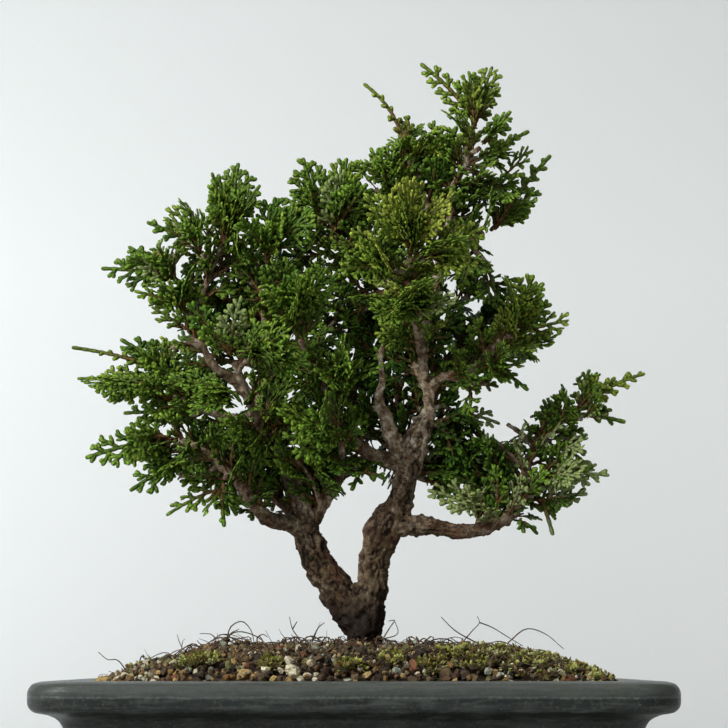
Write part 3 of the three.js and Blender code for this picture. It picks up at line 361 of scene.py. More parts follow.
# See-through openings in the crown that stay free of inner fronds: left, right, low, high.
OPENINGS = [
    (-48, -42, 177.5, 180), (-48, -45, 185, 188), (-43, -38, 169, 172), (-55, -52, 168, 170),
    (-45, -35, 149, 159), (-37, -31, 160, 165), (-8, -5, 154, 161), (-26, -19, 173, 178),
    (44, 58, 202, 213), (-14, 16, 60, 118), (-90, -40, 60, 112), (-90, -64, 60, 119), (20, 39, 60, 116.5),
    (39, 80, 60, 110.5), (-6, 15, 110, 128), (-92, -62, 139, 146), (-96, -73, 160, 168.5),
    (44, 60.5, 148, 155.5), (40, 46, 146, 150.5), (45, 54, 140, 148), (43, 48, 140, 145),
    (-80, -58, 176.5, 182), (51, 60, 195.5, 204), (67, 82, 100, 117), (55, 62, 223, 231),
    (26, 35, 253, 264), (14, 22, 251, 262), (-100, -84, 120, 157), (64, 80, 186, 260), (-60, -49, 114, 124),
    (-31, -22, 111, 118), (-8, 12, 240, 256), (40, 50, 206, 216), (60, 69, 158, 166), (81, 94, 152, 157),
]
# Boxes, seen the same way, that no filling frond in front of the trunks covers.
BARE_FRONT = [(15, 31, 138, 171), (4, 15, 134, 172), (-51, -38, 176, 192), (-52, -37, 157, 168)]
# Colours of the moss's cushions and leaflets, with their shares.
MOSS_BASES = [("#4a3a22", 4), ("#5c5526", 3), ("#33281b", 3)]
MOSS_GREENS = [("#8f8f38", 4), ("#aeb05c", 5), ("#c3c68c", 2), ("#77782f", 3), ("#7a5c30", 3)]
BACKDROP = "#dfe2e1"
# The camera stands before the pot and looks a little up: place, tilt in degrees, and lens on a 36 mm wide
# sensor.
CAMERA_DISTANCE = 700
CAMERA_X = 3
CAMERA_Z = 66
CAMERA_TILT = 98.06
LENS = 103.85
# Soft lights: name, place, aim, size, power in watts and colour.
LIGHTS = [
    ("window", (-1000, -850, 950), (0, 0, 140), (900, 900), 27, "#fbfcff"),
    ("ceiling", (200, -300, 1500), (0, 0, 150), (1200, 1200), 6, "#fffaf2"),
    ("wall_wash", (-800, 450, 100), (-330, 1100, 120), (500, 400), 4.7, "#fbfdff"),
    ("wall_wash_right", (750, 500, 120), (330, 1100, 150), (300, 300), 1.4, "#fffdf8"),
]

# A twig leaves its limb before the point nearest to the spray's heart, by this share of the gap to the
# heart, but not before the least share of the limb. It ends at this share of the way to the heart, and its
# bend lies this share of its span before its end.
TWIG_SAMPLES = 60
TWIG_BACK = 0.35
TWIG_LEAST = 0.02
TWIG_REACH = 0.62
TWIG_BEND = 0.45
TWIG_RADII = (1.05, 0.8)  # at its root and at its tip
THICK_SIDES, THIN_SIDES, TWIG_SIDES = 20, 10, 7  # of the tubes of thick limbs, thin limbs and twigs
STEM_LENGTH = 3.8  # from the end of a twig or limb to where its fronds part
BARK_VOXEL = 0.5
WOOD_STEP = 0.95  # from one ring of a limb to the next
BARK_APART = 50  # from where one limb's bark pattern starts to where the next one's does
DARK_FOOT = (99, 77)  # heights between which the trunk's foot gets dark
# Fronds that fill a spray, and how many for those that need more.
PLUMES = 7
MORE_PLUMES = {
    "front_bright_spray": 12, "front_right_spray": 10, "front_left_spray": 10, "front_low_spray": 12,
    "crown_middle": 9, "left_of_apex": 10, "front_low_left": 10, "front_middle_left": 9,
    "upper_left_high": 9, "upper_left_peak": 9,
}
FROND_HALF = 0.75  # half the width of a frond's rib
BACK_FROM_END = np.array([3.0, 6.0, 10.0, 14.0, 18.0, 22.0])  # where small fronds leave the end of a twig
REAR_FROM = 16  # fronds further back than this face backward
# Fronds on bare thin wood: the pitch, the thickest wood that bears them, and the turn from one to the next.
INNER_PITCH = 2.3
INNER_RADIUS = 2.45
GOLDEN_ANGLE = 2.4
# A pair of scale leaves: its length, and the share of it where it is widest. Its widths at the joint, there
# and at the shoot's end are shares of the shoot's.
SCALE = 2.3
BELLY_AT = 0.6
JOINT_WIDTH = 0.85
BELLY_WIDTH = 1.08
TIP_WIDTH = 0.85
# The shade deep in the crown, painted into the foliage and the bark, is counted in cubes of this size
# over so many steps, and each millimetre of shoot in a cube takes this share of the light away.
CUBE = 4.0
CUBE_STEPS = 8
THROUGH = 0.012


@dataclass
class Shoots:
    """Flat green shoots. Each is a quadratic curve from its root past its bend to its tip."""

    root: np.ndarray
    bend: np.ndarray
    tip: np.ndarray
    face: np.ndarray  # the way that its upper side looks
    half: np.ndarray  # half its width
    spray: np.ndarray  # index of its spray
    tint: np.ndarray  # 0 deep green to 1 yellow green
    pale: np.ndarray  # 1 where the underside shows
    young: np.ndarray  # at the root and at the tip
    woody: np.ndarray  # at the root and at the tip

    def pick(self, chosen):
        return Shoots(**{name: value[chosen] for name, value in vars(self).items()})

    def at(self, t):
        """Point at t: (1-t)^2 root + 2t(1-t) bend + t^2 tip."""
        t = t[..., None]
        return (1 - t) ** 2 * self.root + 2 * t * (1 - t) * self.bend + t**2 * self.tip

    def heading(self, t):
        """Unit direction at t: (1-t)(bend-root) + t(tip-bend)."""
        t = t[..., None]
        return unit((1 - t) * (self.bend - self.root) + t * (self.tip - self.bend))

    @property
    def length(self):
        return np.linalg.norm(self.tip - self.root, axis=1)


def joined(groups):
    """One set of shoots from several."""
    names = vars(groups[0])
    return Shoots(**{name: np.concatenate([vars(g)[name] for g in groups]) for name in names})


# ---------- small tools ----------

def unit(v):
    """Vectors made one long."""
    return v / np.maximum(np.linalg.norm(v, axis=-1, keepdims=True), 1e-9)


def mix(a, b, t):
    """The place at the share t of the way from a to b."""
    return a + (b - a) * t


def path_length(points):
    """Length of a path through points."""
    return np.linalg.norm(np.diff(points, axis=0), axis=1).sum()


def smooth(low, high, x):
    """Smooth step from 0 at low to 1 at high."""
    t = np.clip((x - low) / (high - low), 0, 1)
    return t * t * (3 - 2 * t)


def draw(n):
    """A repeatable draw between 0 and 1 for a number: the fraction of a large sine."""
    s = np.sin(np.asarray(n) * 12.9898 + 4.1) * 43758.5453
    return s - np.floor(s)


def linear(code):
    """An sRGB hex colour as linear red, green, blue and alpha."""
    parts = np.array([int(code[i:i + 2], 16) for i in (1, 3, 5)]) / 255
    toned = np.where(parts <= 0.04045, parts / 12.92, ((parts + 0.055) / 1.055) ** 2.4)
    return (*toned.tolist(), 1.0)


def relief(points, size, seed=0):
    """Soft random relief from -1 to 1: random values at the corners of cubes of that size, blended inside
    each cube by the smooth step of the place."""
    place = points / size
    cell = np.floor(place).astype(np.int64)
    inside = place - cell
    inside = inside * inside * (3 - 2 * inside)
    total = np.zeros(len(points))
    for corner in np.ndindex(2, 2, 2):
        key = (cell + corner) @ np.array([73856093, 19349663, 83492791]) + seed * 2654435761
        key = (key ^ (key >> 13)) * 1274126177 & 0x7FFFFFFF
        key = ((key ^ (key >> 15)) * 2246822519) & 0x7FFFFFFF
        weight = np.prod(np.where(corner, inside, 1 - inside), axis=1)
        total += weight * ((key ^ (key >> 12)) & 0xFFFF) / 0xFFFF
    return 2 * total - 1


def through(points, t):
    """Centripetal Catmull-Rom curve: between two points a cubic, whose slopes come from the neighbours,
    with each span timed by the square root of its length."""
    spans = len(points) - 1
    padded = np.vstack([2 * points[0] - points[1], points, 2 * points[-1] - points[-2]])
    k = np.minimum((t * spans).astype(int), spans - 1)
    w = (t * spans - k)[:, None]
    a, b, c, d = (padded[k + i] for i in range(4))
    da, db, dc = (np.linalg.norm(q - p, axis=1)[:, None] ** 0.5 for p, q in ((a, b), (b, c), (c, d)))
    leave = ((b - a) / da - (c - a) / (da + db) + (c - b) / db) * db
    arrive = ((c - b) / db - (d - b) / (db + dc) + (d - c) / dc) * db
    return (b + leave * w + (3 * (c - b) - 2 * leave - arrive) * w**2
            + (2 * (b - c) + leave + arrive) * w**3)


def quadratic(a, b, c, t):
    """Quadratic curve: (1-t)^2 a + 2t(1-t) b + t^2 c."""
    t = t[:, None]
    return (1 - t) ** 2 * a + 2 * t * (1 - t) * b + t**2 * c


def ring_faces(rings, sides, closed=True):
    """Quads between rings of points that follow each other."""
    r, s = np.meshgrid(np.arange(rings - 1), np.arange(sides if closed else sides - 1), indexing="ij")
    a, b = r * sides + s, r * sides + (s + 1) % sides
    return np.stack([a, b, b + sides, a + sides], axis=-1).reshape(-1, 4)


def fan(pole, ring, outward):
    """Triangles from a pole to a closed ring of points, written as quads whose last corner is -1."""
    following = np.roll(ring, -1)
    order = (ring, following) if outward else (following, ring)
    return np.stack([np.full(len(ring), pole), *order, np.full(len(ring), -1)], axis=-1)


def capped(rings, low_pole, high_pole):
    """Points and faces of a closed skin through rings of points, with a pole at each end."""
    count, sides = rings.shape[:2]
    side = np.arange(sides)
    faces = [
        ring_faces(count, sides),
        fan(count * sides, side, outward=False),
        fan(count * sides + 1, side + (count - 1) * sides, outward=True),
    ]
    return np.vstack([rings.reshape(-1, 3), low_pole, high_pole]), np.vstack(faces)


def read(items, label, width=1, kind=np.float32):
    """One value of all items of a mesh as an array."""
    values = np.empty(len(items) * width, kind)
    items.foreach_get(label, values)
    return values.reshape(-1, width) if width > 1 else values


def placed(name, data):
    """A new object in the scene."""
    made = bpy.data.objects.new(name, data)
    bpy.context.scene.collection.objects.link(made)
    return made


def plain_body(name, points, faces):
    """A mesh object, of points in millimetres, with no slot."""
    mesh = bpy.data.meshes.new(name)
    mesh.from_pydata((points * MM).tolist(), [], [face[face >= 0].tolist() for face in faces])
    return placed(name, mesh)


def stacked(shapes):
    """Points and faces of several shapes, with the faces of each moved on past the points before it."""
    moved, before = [], 0
    for points, faces, *_rest in shapes:
        moved.append(np.where(faces < 0, -1, faces + before))
        before += len(points)
    return np.vstack([shape[0] for shape in shapes]), np.vstack(moved)


def mesh_piece(name, points, faces, slot, material, nodes=(), smooth_shaded=True, **values):
    """A named piece from points in millimetres and faces of 4 corners (a fourth corner of -1 leaves a
    triangle), with values at its points as attributes."""
    faces = np.asarray(faces)
    corners = faces[faces >= 0]
    sizes = (faces >= 0).sum(axis=1)
    mesh = bpy.data.meshes.new(name)
    mesh.vertices.add(len(points))
    mesh.vertices.foreach_set("co", (points * MM).astype(np.float32).ravel())
    mesh.loops.add(len(corners))
    mesh.loops.foreach_set("vertex_index", corners.astype(np.int32))
    mesh.polygons.add(len(sizes))
    mesh.polygons.foreach_set("loop_start", (np.cumsum(sizes) - sizes).astype(np.int32))
    mesh.polygons.foreach_set("use_smooth", np.full(len(sizes), smooth_shaded))
    mesh.update(calc_edges=True)
    mesh.validate()
    for label, value in values.items():
        kind = "FLOAT" if value.ndim == 1 else "FLOAT_COLOR"
        layer = mesh.attributes.new(label, kind, "POINT")
        layer.data.foreach_set("value" if value.ndim == 1 else "color", value.astype(np.float32).ravel())
    mesh.materials.append(material)
    piece = placed(name, mesh)
    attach(piece, "root")
    if nodes:
        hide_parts(*nodes)
    return piece


# ---------- materials ----------

def new_material(name):
    """A material with no nodes, and its tree."""
    material = bpy.data.materials.new(name)
    material.use_nodes = True
    material.node_tree.nodes.clear()
    return material, material.node_tree


def node(tree, kind, settings=None, **links):
    """Adds a node. Settings name its properties, its sockets by label, or the stops of its colour ramp.
    Links name sockets, by number after an underscore, and what feeds each: a node by its first output in
    use, an output, a number or a hex colour."""
    made = tree.nodes.new("ShaderNode" + kind)
    for key, value in (settings or {}).items():
        if key == "stops":
            elements = made.color_ramp.elements
            while len(elements) < len(value):
                elements.new(0.5)
            for element, (place, code) in zip(elements, value):
                element.position, element.color = place, linear(code)
        elif hasattr(made, key):
            setattr(made, key, value)
        else:
            made.inputs[key].default_value = value
    for key, source in links.items():
        socket = made.inputs[int(key[1:]) if key.startswith("_") else key.replace("_", " ")]
        if isinstance(source, bpy.types.Node):
            source = next(output for output in source.outputs if output.enabled)
        if isinstance(source, bpy.types.NodeSocket):
            tree.links.new(source, socket)
        else:
            socket.default_value = linear(source) if isinstance(source, str) else source
    return made


def share_of(tree, mask, low, high, at_low, at_high):
    """A mask's range, low to high, mapped to shares."""
    return node(tree, "MapRange", Value=mask, _1=low, _2=high, _3=at_low, _4=at_high)


def laid_over(tree, skin, cover, mask, *limits):
    """The skin under a cover, which hides as much of it as the mask says, or the share that its limits
    give."""
    share = share_of(tree, mask, *limits) if limits else mask
    return node(tree, "Mix", {"data_type": "RGBA"}, _0=share, _6=skin, _7=cover)


def shaded(tree, skin, mask, *limits):
    """The skin made darker and lighter by the mask."""
    grey = share_of(tree, mask, *limits)
    grey = node(tree, "CombineColor", Red=grey, Green=grey, Blue=grey)
    return node(tree, "Mix", {"data_type": "RGBA", "blend_type": "MULTIPLY"}, _0=1.0, _6=skin, _7=grey)


def finished(material, settings, **links):
    """The material with its surface: a principled shader and the output."""
    surface = node(material.node_tree, "BsdfPrincipled", settings, **links)
    node(material.node_tree, "OutputMaterial", Surface=surface)
    return material


def scale_leaf_material():
    """Living hinoki foliage, as grown: waxy overlapping scale leaves. The eye sees deep green with
    yellow-green tips, a darker line where one scale meets the next, brown older axes, and grey-green fronds
    that turn their waxy underside up. Front sprays are lighter and rear and inner ones darker, partly
    painted light and shade. Each small cell of the skin has a painted highlight in its middle and painted
    shade at its edges, and deep inside the crown painted shade turns the foliage, older and darker there
    too, near black."""
    material, tree = new_material("hinoki_scale_leaf_waxy")
    spot = node(tree, "TexCoord").outputs["Object"]
    shoot = node(tree, "Attribute", {"attribute_name": "shoot"})
    young, tint, woody = node(tree, "SeparateColor", Color=shoot).outputs[:3]
    joint = shoot.outputs["Alpha"]
    # inside: painted shade deep in the crown, 0 outside to 1 in its middle
    pale, inside = (node(tree, "Attribute", {"attribute_name": label}).outputs["Fac"]
                    for label in ("pale", "inside"))
    fine = node(tree, "TexNoise", {"Scale": 1 / (0.9 * MM), "Detail": 3.0}, Vector=spot)
    cells = node(tree, "TexVoronoi", {"Scale": 1 / (1.15 * MM), "Randomness": 0.85}, Vector=spot)
    broad = node(tree, "TexNoise", {"Scale": 1 / (14 * MM), "Detail": 2.0}, Vector=spot)
    greens = node(tree, "ValToRGB", {
        "stops": [(0.0, "#142606"), (0.45, "#234009"), (0.8, "#3a570c"), (1.0, "#526510")]}, Fac=tint)
    tips = node(tree, "ValToRGB", {
        "stops": [(0.0, "#4b731f"), (0.5, "#7a9a32"), (1.0, "#a2ab42")]}, Fac=tint)
    leaf = laid_over(tree, greens, tips, young)
    leaf = shaded(tree, leaf, broad, 0.35, 0.65, 0.78, 1.14)
    leaf = shaded(tree, leaf, fine, 0.36, 0.64, 0.72, 1.3)
    # Painted highlight in the middle of each small cell and painted shade at its edges
    leaf = shaded(tree, leaf, cells, 0.15, 0.62, 1.5, 0.62)
    leaf = laid_over(tree, leaf, "#a0a972", pale, 0.2, 1.0, 0.0, 0.78)
    leaf = laid_over(tree, leaf, "#121d0b", joint, 0.3, 1.0, 0.0, 0.55)
    # Painted shade: the foliage near black deep inside the crown, where it is also older and darker
    leaf = laid_over(tree, leaf, "#0e1208", inside, 0.55, 0.95, 0.0, 0.9)
    bark = node(tree, "ValToRGB", {
        "stops": [(0.3, "#46301f"), (0.5, "#6f4d2f"), (0.7, "#8f6b43")]}, Fac=fine)
    # Painted shade on the brown axes deep inside the crown
    bark = laid_over(tree, bark, "#251a12", inside, 0.6, 1.0, 0.0, 0.7)
    leaf = laid_over(tree, leaf, bark, woody)
    dome = share_of(tree, cells, 0.1, 0.65, 1.0, 0.0)
    bump = node(tree, "Bump", {"Strength": 0.6, "Distance": 0.3 * MM}, Height=dome)
    return finished(material, {"Roughness": 0.52, "IOR": 1.42, "Specular IOR Level": 0.22},
                    Base_Color=leaf, Normal=bump)


def bark_material():
    """Old hinoki bark, as grown: fibrous, peeling in narrow plates. The eye sees dull brown with red and
    olive patches and a pale weathered grey on the leader and dead wood. The near black in the cracks and on
    the plates' low parts is partly the furrows' own darker bark and partly painted shade, the leader's grey
    is partly painted light, and the wood deep inside the crown gets painted shade."""
    material, tree = new_material("hinoki_bark_fibrous")
    spot = node(tree, "TexCoord").outputs["Object"]
    wood = node(tree, "Attribute", {"attribute_name": "wood"})
    # The blue channel, inside, is painted shade deep in the crown
    grey, crack, inside = node(tree, "SeparateColor", Color=wood).outputs[:3]
    plates = node(tree, "TexNoise", {"Scale": 1 / (2.6 * MM), "Detail": 6.0, "Roughness": 0.7}, Vector=spot)
    grit = node(tree, "TexNoise", {"Scale": 1 / (0.7 * MM), "Detail": 4.0}, Vector=spot)
    patch = node(tree, "TexNoise", {"Scale": 1 / (9 * MM), "Detail": 2.0}, Vector=spot)
    # Both ramps follow the plates' relief: partly the bark's own colour, partly painted shade and light
    brown = node(tree, "ValToRGB", {
        "stops": [(0.3, "#241911"), (0.42, "#4b3725"), (0.5, "#6b533b"), (0.58, "#7f694c"),
                  (0.68, "#a8946f")]}, Fac=plates)
    worn_and_lit = node(tree, "ValToRGB", {
        "stops": [(0.36, "#54402f"), (0.46, "#947e64"), (0.54, "#bfac92"), (0.63, "#e6dccb")]}, Fac=plates)
    skin = laid_over(tree, brown, "#5e3627", patch, 0.5, 0.62, 0.0, 0.7)
    skin = laid_over(tree, skin, "#565237", patch, 0.46, 0.36, 0.0, 0.4)
    skin = laid_over(tree, skin, "#2b2019", grit, 0.42, 0.64, 0.0, 0.5)
    worn_and_lit = laid_over(tree, worn_and_lit, "#5b4433", grit, 0.45, 0.62, 0.0, 0.3)
    skin = laid_over(tree, skin, worn_and_lit, grey)
    # Near black in the cracks: partly the furrows' own darker bark, partly painted shade
    skin = laid_over(tree, skin, "#140e0a", crack, 0.1, 1.0, 0.0, 0.9)
    # Painted shade: darker deep inside the crown
    skin = laid_over(tree, skin, "#1d1510", inside, 0.55, 1.0, 0.0, 0.65)
    skin = laid_over(tree, skin, "#8f7259", wood.outputs["Alpha"], 0.0, 1.0, 0.0, 0.75)
    pitted = node(tree, "Bump", {"Strength": 0.8, "Distance": 0.3 * MM}, Height=grit)
    bump = node(tree, "Bump", {"Strength": 0.9, "Distance": 0.6 * MM}, Height=plates, Normal=pitted)
    return finished(material, {"Roughness": 0.88, "Specular IOR Level": 0.25}, Base_Color=skin, Normal=bump)


def grain_material():
    """Baked clay, pumice and lava grains, sieved to 2 to 5 mm. The eye sees matt brown, ochre, cream and
    near black grains, each of one colour with fine pits."""
    material, tree = new_material("sieved_akadama_pumice_lava")
    spot = node(tree, "TexCoord").outputs["Object"]
    colour = node(tree, "Attribute", {"attribute_name": "grain"})
    pits = node(tree, "TexNoise", {"Scale": 1 / (0.5 * MM), "Detail": 4.0}, Vector=spot)
    skin = laid_over(tree, colour, "#3a2c1f", pits, 0.4, 0.62, 0.0, 0.5)
    bump = node(tree, "Bump", {"Strength": 0.7, "Distance": 0.3 * MM}, Height=pits)
    return finished(material, {"Roughness": 0.92}, Base_Color=skin, Normal=bump)


def moss_material():
    """Living cushion moss, as grown. The eye sees pale yellow-green leaflets on a browner base."""
    material, tree = new_material("cushion_moss")
    colour = node(tree, "Attribute", {"attribute_name": "grain"})
    return finished(material, {"Roughness": 0.7}, Base_Color=colour)


def glaze_material():
    """Stoneware with a dark satin glaze, dipped and fired. The eye sees blue-black with fine blue, green
    and brown mottling, level streaks, small pale specks, and a thinner greyer glaze on the edges. On the
    lip the streaks are stronger, partly the glaze's own and partly painted sheen, and the upper half of
    the lip's nose has a painted sheen. Where light catches the lip's curves, three wavering level lines
    are paler."""
    material, tree = new_material("dark_satin_glazed_stoneware")
    spot = node(tree, "TexCoord").outputs["Object"]
    thin, bare = (node(tree, "Attribute", {"attribute_name": label}).outputs["Fac"]
                  for label in ("thin", "bare"))
    clouds = node(tree, "TexNoise", {"Scale": 1 / (9 * MM), "Detail": 5.0, "Roughness": 0.6}, Vector=spot)
    level = node(tree, "Mapping", {"Scale": (0.16, 0.16, 1.0)}, Vector=spot)
    streaks = node(tree, "TexNoise", {"Scale": 1 / (1.6 * MM), "Detail": 4.0}, Vector=level)
    specks = node(tree, "TexVoronoi", {"Scale": 1 / (3.0 * MM)}, Vector=spot)
    grit = node(tree, "TexNoise", {"Scale": 1 / (0.7 * MM), "Detail": 3.0}, Vector=spot)
    hue = node(tree, "TexNoise", {"Scale": 1 / (1.3 * MM), "Detail": 5.0, "Roughness": 0.65}, Vector=spot)
    height = node(tree, "SeparateXYZ", Vector=spot).outputs["Z"]
    sway = node(tree, "Math", {"operation": "MULTIPLY_ADD"}, _0=clouds, _1=1.1 * MM, _2=height)
    skin = node(tree, "ValToRGB", {
        "stops": [(0.3, "#070a0a"), (0.48, "#0e1313"), (0.58, "#151b1b"), (0.7, "#202827")]}, Fac=clouds)
    tone = node(tree, "ValToRGB", {
        "stops": [(0.34, "#1b2c33"), (0.46, "#090e0c"), (0.54, "#2b2519"), (0.66, "#424942")]}, Fac=hue)
    skin = laid_over(tree, skin, tone, 0.55)
    # Level streaks, stronger on the lip, where they are partly painted sheen
    streaky = node(tree, "Math", {"operation": "MULTIPLY"},
                   _0=share_of(tree, height, 46 * MM, 53 * MM, 0.3, 1.0),
                   _1=share_of(tree, streaks, 0.47, 0.7, 0.0, 0.6))
    skin = laid_over(tree, skin, "#50544f", streaky)
    for line_height, half, share, code in (
            (56.0, 0.5, 0.6, "#6f7672"), (60.2, 0.5, 0.55, "#7a817d"), (53.1, 0.4, 0.3, "#4d5552")):
        apart = node(tree, "Math", {"operation": "SUBTRACT"}, _0=sway, _1=line_height * MM)
        apart = node(tree, "Math", {"operation": "ABSOLUTE"}, _0=apart)
        line = node(tree, "Math", {"operation": "MULTIPLY"},
                    _0=share_of(tree, apart, 0.0, half * MM, share, 0.0),
                    _1=share_of(tree, hue, 0.4, 0.6, 0.35, 1.0))
        skin = laid_over(tree, skin, code, line)
    # Painted sheen: the upper half of the lip's nose lighter
    skin = laid_over(tree, skin, "#50544e", height, 54.6 * MM, 56.6 * MM, 0.0, 0.62)
    skin = laid_over(tree, skin, "#5d6562", thin, 0.0, 1.0, 0.0, 0.5)
    skin = laid_over(tree, skin, "#7f847c", specks, 0.03, 0.09, 0.45, 0.0)
    clay = node(tree, "ValToRGB", {"stops": [(0.3, "#4a3327"), (0.7, "#6d4d3b")]}, Fac=grit)
    skin = laid_over(tree, skin, clay, bare)
    gloss = node(tree, "Math", {"operation": "MULTIPLY_ADD"}, _0=bare, _1=0.5,
                 _2=share_of(tree, hue, 0.35, 0.65, 0.3, 0.5))
    bump = node(tree, "Bump", {"Strength": 0.35, "Distance": 0.3 * MM}, Height=grit)
    wave = node(tree, "Bump", {"Strength": 0.5, "Distance": 0.9 * MM}, Height=streaks, Normal=bump)
    return finished(material, {"IOR": 1.45, "Specular IOR Level": 0.32},
                    Base_Color=skin, Roughness=gloss, Normal=wave)


def screen_material():
    """Black polypropylene mesh, moulded. The eye sees a dull black sheet with faint flow clouds."""
    material, tree = new_material("moulded_black_polypropylene")
    spot = node(tree, "TexCoord").outputs["Object"]
    flow = node(tree, "TexNoise", {"Scale": 1 / (4 * MM), "Detail": 3.0}, Vector=spot)
    skin = node(tree, "ValToRGB", {"stops": [(0.35, "#1c1e1c"), (0.65, "#2d302c")]}, Fac=flow)
    return finished(material, {"Roughness": 0.55, "IOR": 1.49}, Base_Color=skin)


def stage_material():
    """Matt paper, cut from a roll. The eye sees a plain pale sheet with no sheen."""
    material, _ = new_material("matt_pale_backdrop")
    return finished(material, {"Roughness": 0.95}, Base_Color=BACKDROP)


# ---------- wood ----------

def limb_points(name):
    """A limb's points and its radius at each."""
    table = np.array(LIMBS[name], float)
    return table[:, :3], table[:, 3]


def frames_along(centres):
    """Headings of a path and two directions across it, carried from point to point without turning."""
    heading = unit(np.gradient(centres, axis=0))
    across = np.empty_like(heading)
    steep = abs(heading[0][2]) >= 0.9
    start = np.array([1.0, 0.0, 0.0]) if steep else np.cross(heading[0], UP)
    across[0] = unit(start - heading[0] * (start @ heading[0]))
    for k in range(1, len(centres)):
        across[k] = unit(across[k - 1] - heading[k] * (across[k - 1] @ heading[k]))
    return heading, across, np.cross(heading, across)


def sweep(centres, radii, sides):
    """A closed tube: circles of the given radii round a path, with a pole at each end. Also the way out at
    each of its points."""
    heading, across, over = frames_along(centres)
    angle = np.arange(sides) * 2 * np.pi / sides
    outward = np.cos(angle)[:, None] * across[:, None] + np.sin(angle)[:, None] * over[:, None]
    points, faces = capped(centres[:, None] + radii[:, None, None] * outward, centres[:1], centres[-1:])
    return points, faces, np.vstack([outward.reshape(-1, 3), -heading[:1], heading[-1:]])


def twig_curve(spray):
    """Quadratic curve of a twig: it leaves its limb before the point nearest to the spray's heart and ends
    short of the heart, headed for the middle of the tips."""
    _, limb, heart, tips = spray
    points, _ = limb_points(limb)
    heart = np.array(heart, float)
    t = np.linspace(0, 1, TWIG_SAMPLES + 1)
    gaps = np.linalg.norm(through(points, t) - heart, axis=1)
    limb_length = path_length(through(points, np.linspace(0, 1, 201)))
    leave = max(TWIG_LEAST, t[gaps.argmin()] - TWIG_BACK * gaps.min() / limb_length)
    start = through(points, np.array([leave]))[0]
    end = mix(start, heart, TWIG_REACH)
    outward = unit(np.mean([tip[:3] for tip in tips], axis=0) - end)
    return start, end - outward * TWIG_BEND * np.linalg.norm(end - start), end


def ends_limb(index):
    """Whether a spray is the first one listed for its limb, which grows from the limb's end."""
    limb = SPRAYS[index][1]
    return next(k for k, spray in enumerate(SPRAYS) if spray[1] == limb) == index


def carrier_points(index, t):
    """Points along what carries a spray: its limb or its twig."""
    spray = SPRAYS[index]
    if ends_limb(index):
        return through(limb_points(spray[1])[0], t)
    return quadratic(*twig_curve(spray), t)


@dataclass
class Run:
    """One stretch of wood: its path, its radii, how grey and knobbly its bark is, the sides of its tube,
    and whether it is thick enough to be joined in one skin."""

    centres: np.ndarray
    radii: np.ndarray
    grey: float
    knobs: float
    sides: int
    thick: bool


def wood_runs():
    """Every limb and twig."""
    runs = []
    for name in LIMBS:
        points, radii = limb_points(name)
        t = np.linspace(0, 1, max(12, int(path_length(points) / WOOD_STEP)))
        radius = np.interp(t * (len(points) - 1), np.arange(len(points)), radii)
        thick = name in THICK
        runs.append(Run(through(points, t), radius, GREYNESS.get(name, USUAL_GREY),
                        KNOBS.get(name, USUAL_KNOBS), THICK_SIDES if thick else THIN_SIDES, thick))
    for index, spray in enumerate(SPRAYS):
        if not ends_limb(index):
            t = np.linspace(0, 1, 22)
            path = quadratic(*twig_curve(spray), t)
            runs.append(Run(path, mix(*TWIG_RADII, t), grey=0.4, knobs=0.3, sides=TWIG_SIDES, thick=False))
    for _, path in INNER_TWIGS:
        t = np.linspace(0, 1, 26)
        path = through(np.array(path, float), t)
        runs.append(Run(path, mix(*TWIG_RADII, t), grey=0.35, knobs=0.3, sides=TWIG_SIDES, thick=False))
    return runs


def remeshed(points, faces, voxel):
    """One skin round overlapping tubes: their union sampled in cubes of the voxel's size. Its points, the
    ways out of it and its quads."""
    body = plain_body("limbs", points, faces)
    skin = body.modifiers.new("skin", "REMESH")
    skin.mode = "VOXEL"
    skin.voxel_size = voxel * MM
    worked_out = body.evaluated_get(bpy.context.evaluated_depsgraph_get())
    done = worked_out.to_mesh()
    co, normal = (read(done.vertices, label, 3) for label in ("co", "normal"))
    quads = read(done.loops, "vertex_index", kind=np.int32)
    if set(read(done.polygons, "loop_total", kind=np.int32)) != {4}:
        raise ValueError("the skin has faces other than quads")
    worked_out.to_mesh_clear()
    mesh = body.data
    bpy.data.objects.remove(body)
    bpy.data.meshes.remove(mesh)
    return co / MM, normal, quads.reshape(-1, 4)


def nearest_sample(points, centres, radii, batch=4000):
    """For each point, the sample whose surface is nearest: distance to its centre less its radius."""
    found = np.empty(len(points), int)
    for first in range(0, len(points), batch):
        part = points[first:first + batch]
        squares = (part**2).sum(1)[:, None] - 2 * part @ centres.T + (centres**2).sum(1)
        found[first:first + batch] = (np.sqrt(np.maximum(squares, 0)) - radii).argmin(axis=1)
    return found


def bark_relief(points, offset, frames, along, radii, rough):
    """Lift of the bark, and how deep in a crack each point is. Lumps at 6 and 2.8 mm, flat plates with a
    sharp edge where a relief drawn out along the limb rises through zero, and knobs at 1.7 mm, less cracks
    where another such relief passes through zero. Lumps, plates and cracks grow with the limb's radius."""
    heading, across, over = frames
    spot = np.stack([(offset * across).sum(1), (offset * over).sum(1), along], axis=1)
    thick = smooth(1.2, 4.6, radii)
    furrow = np.abs(relief(spot / [1, 1, 2.6], 1.6, 3) + 0.5 * relief(spot, 1.1, 4))
    crack = 1 - smooth(0.0, 0.32, furrow)
    plate = smooth(-0.06, 0.14, relief(spot / [1, 1, 1.9], 2.1, 7))
    lumps = 0.75 * relief(points, 6.0, 1) + 0.55 * relief(points, 2.8, 2)
    knobs = smooth(0.05, 0.75, relief(points, 1.7, 5)) - 0.2
    lift = (mix(0.12, 1.0, thick) * lumps + mix(0.03, 0.75, thick) * (plate - 0.4) + 0.75 * rough * knobs
            - mix(0.1, 0.75, thick) * crack)
    return lift, np.clip(crack * mix(0.35, 0.9, thick) + 0.35 * thick * (1 - plate), 0, 1)


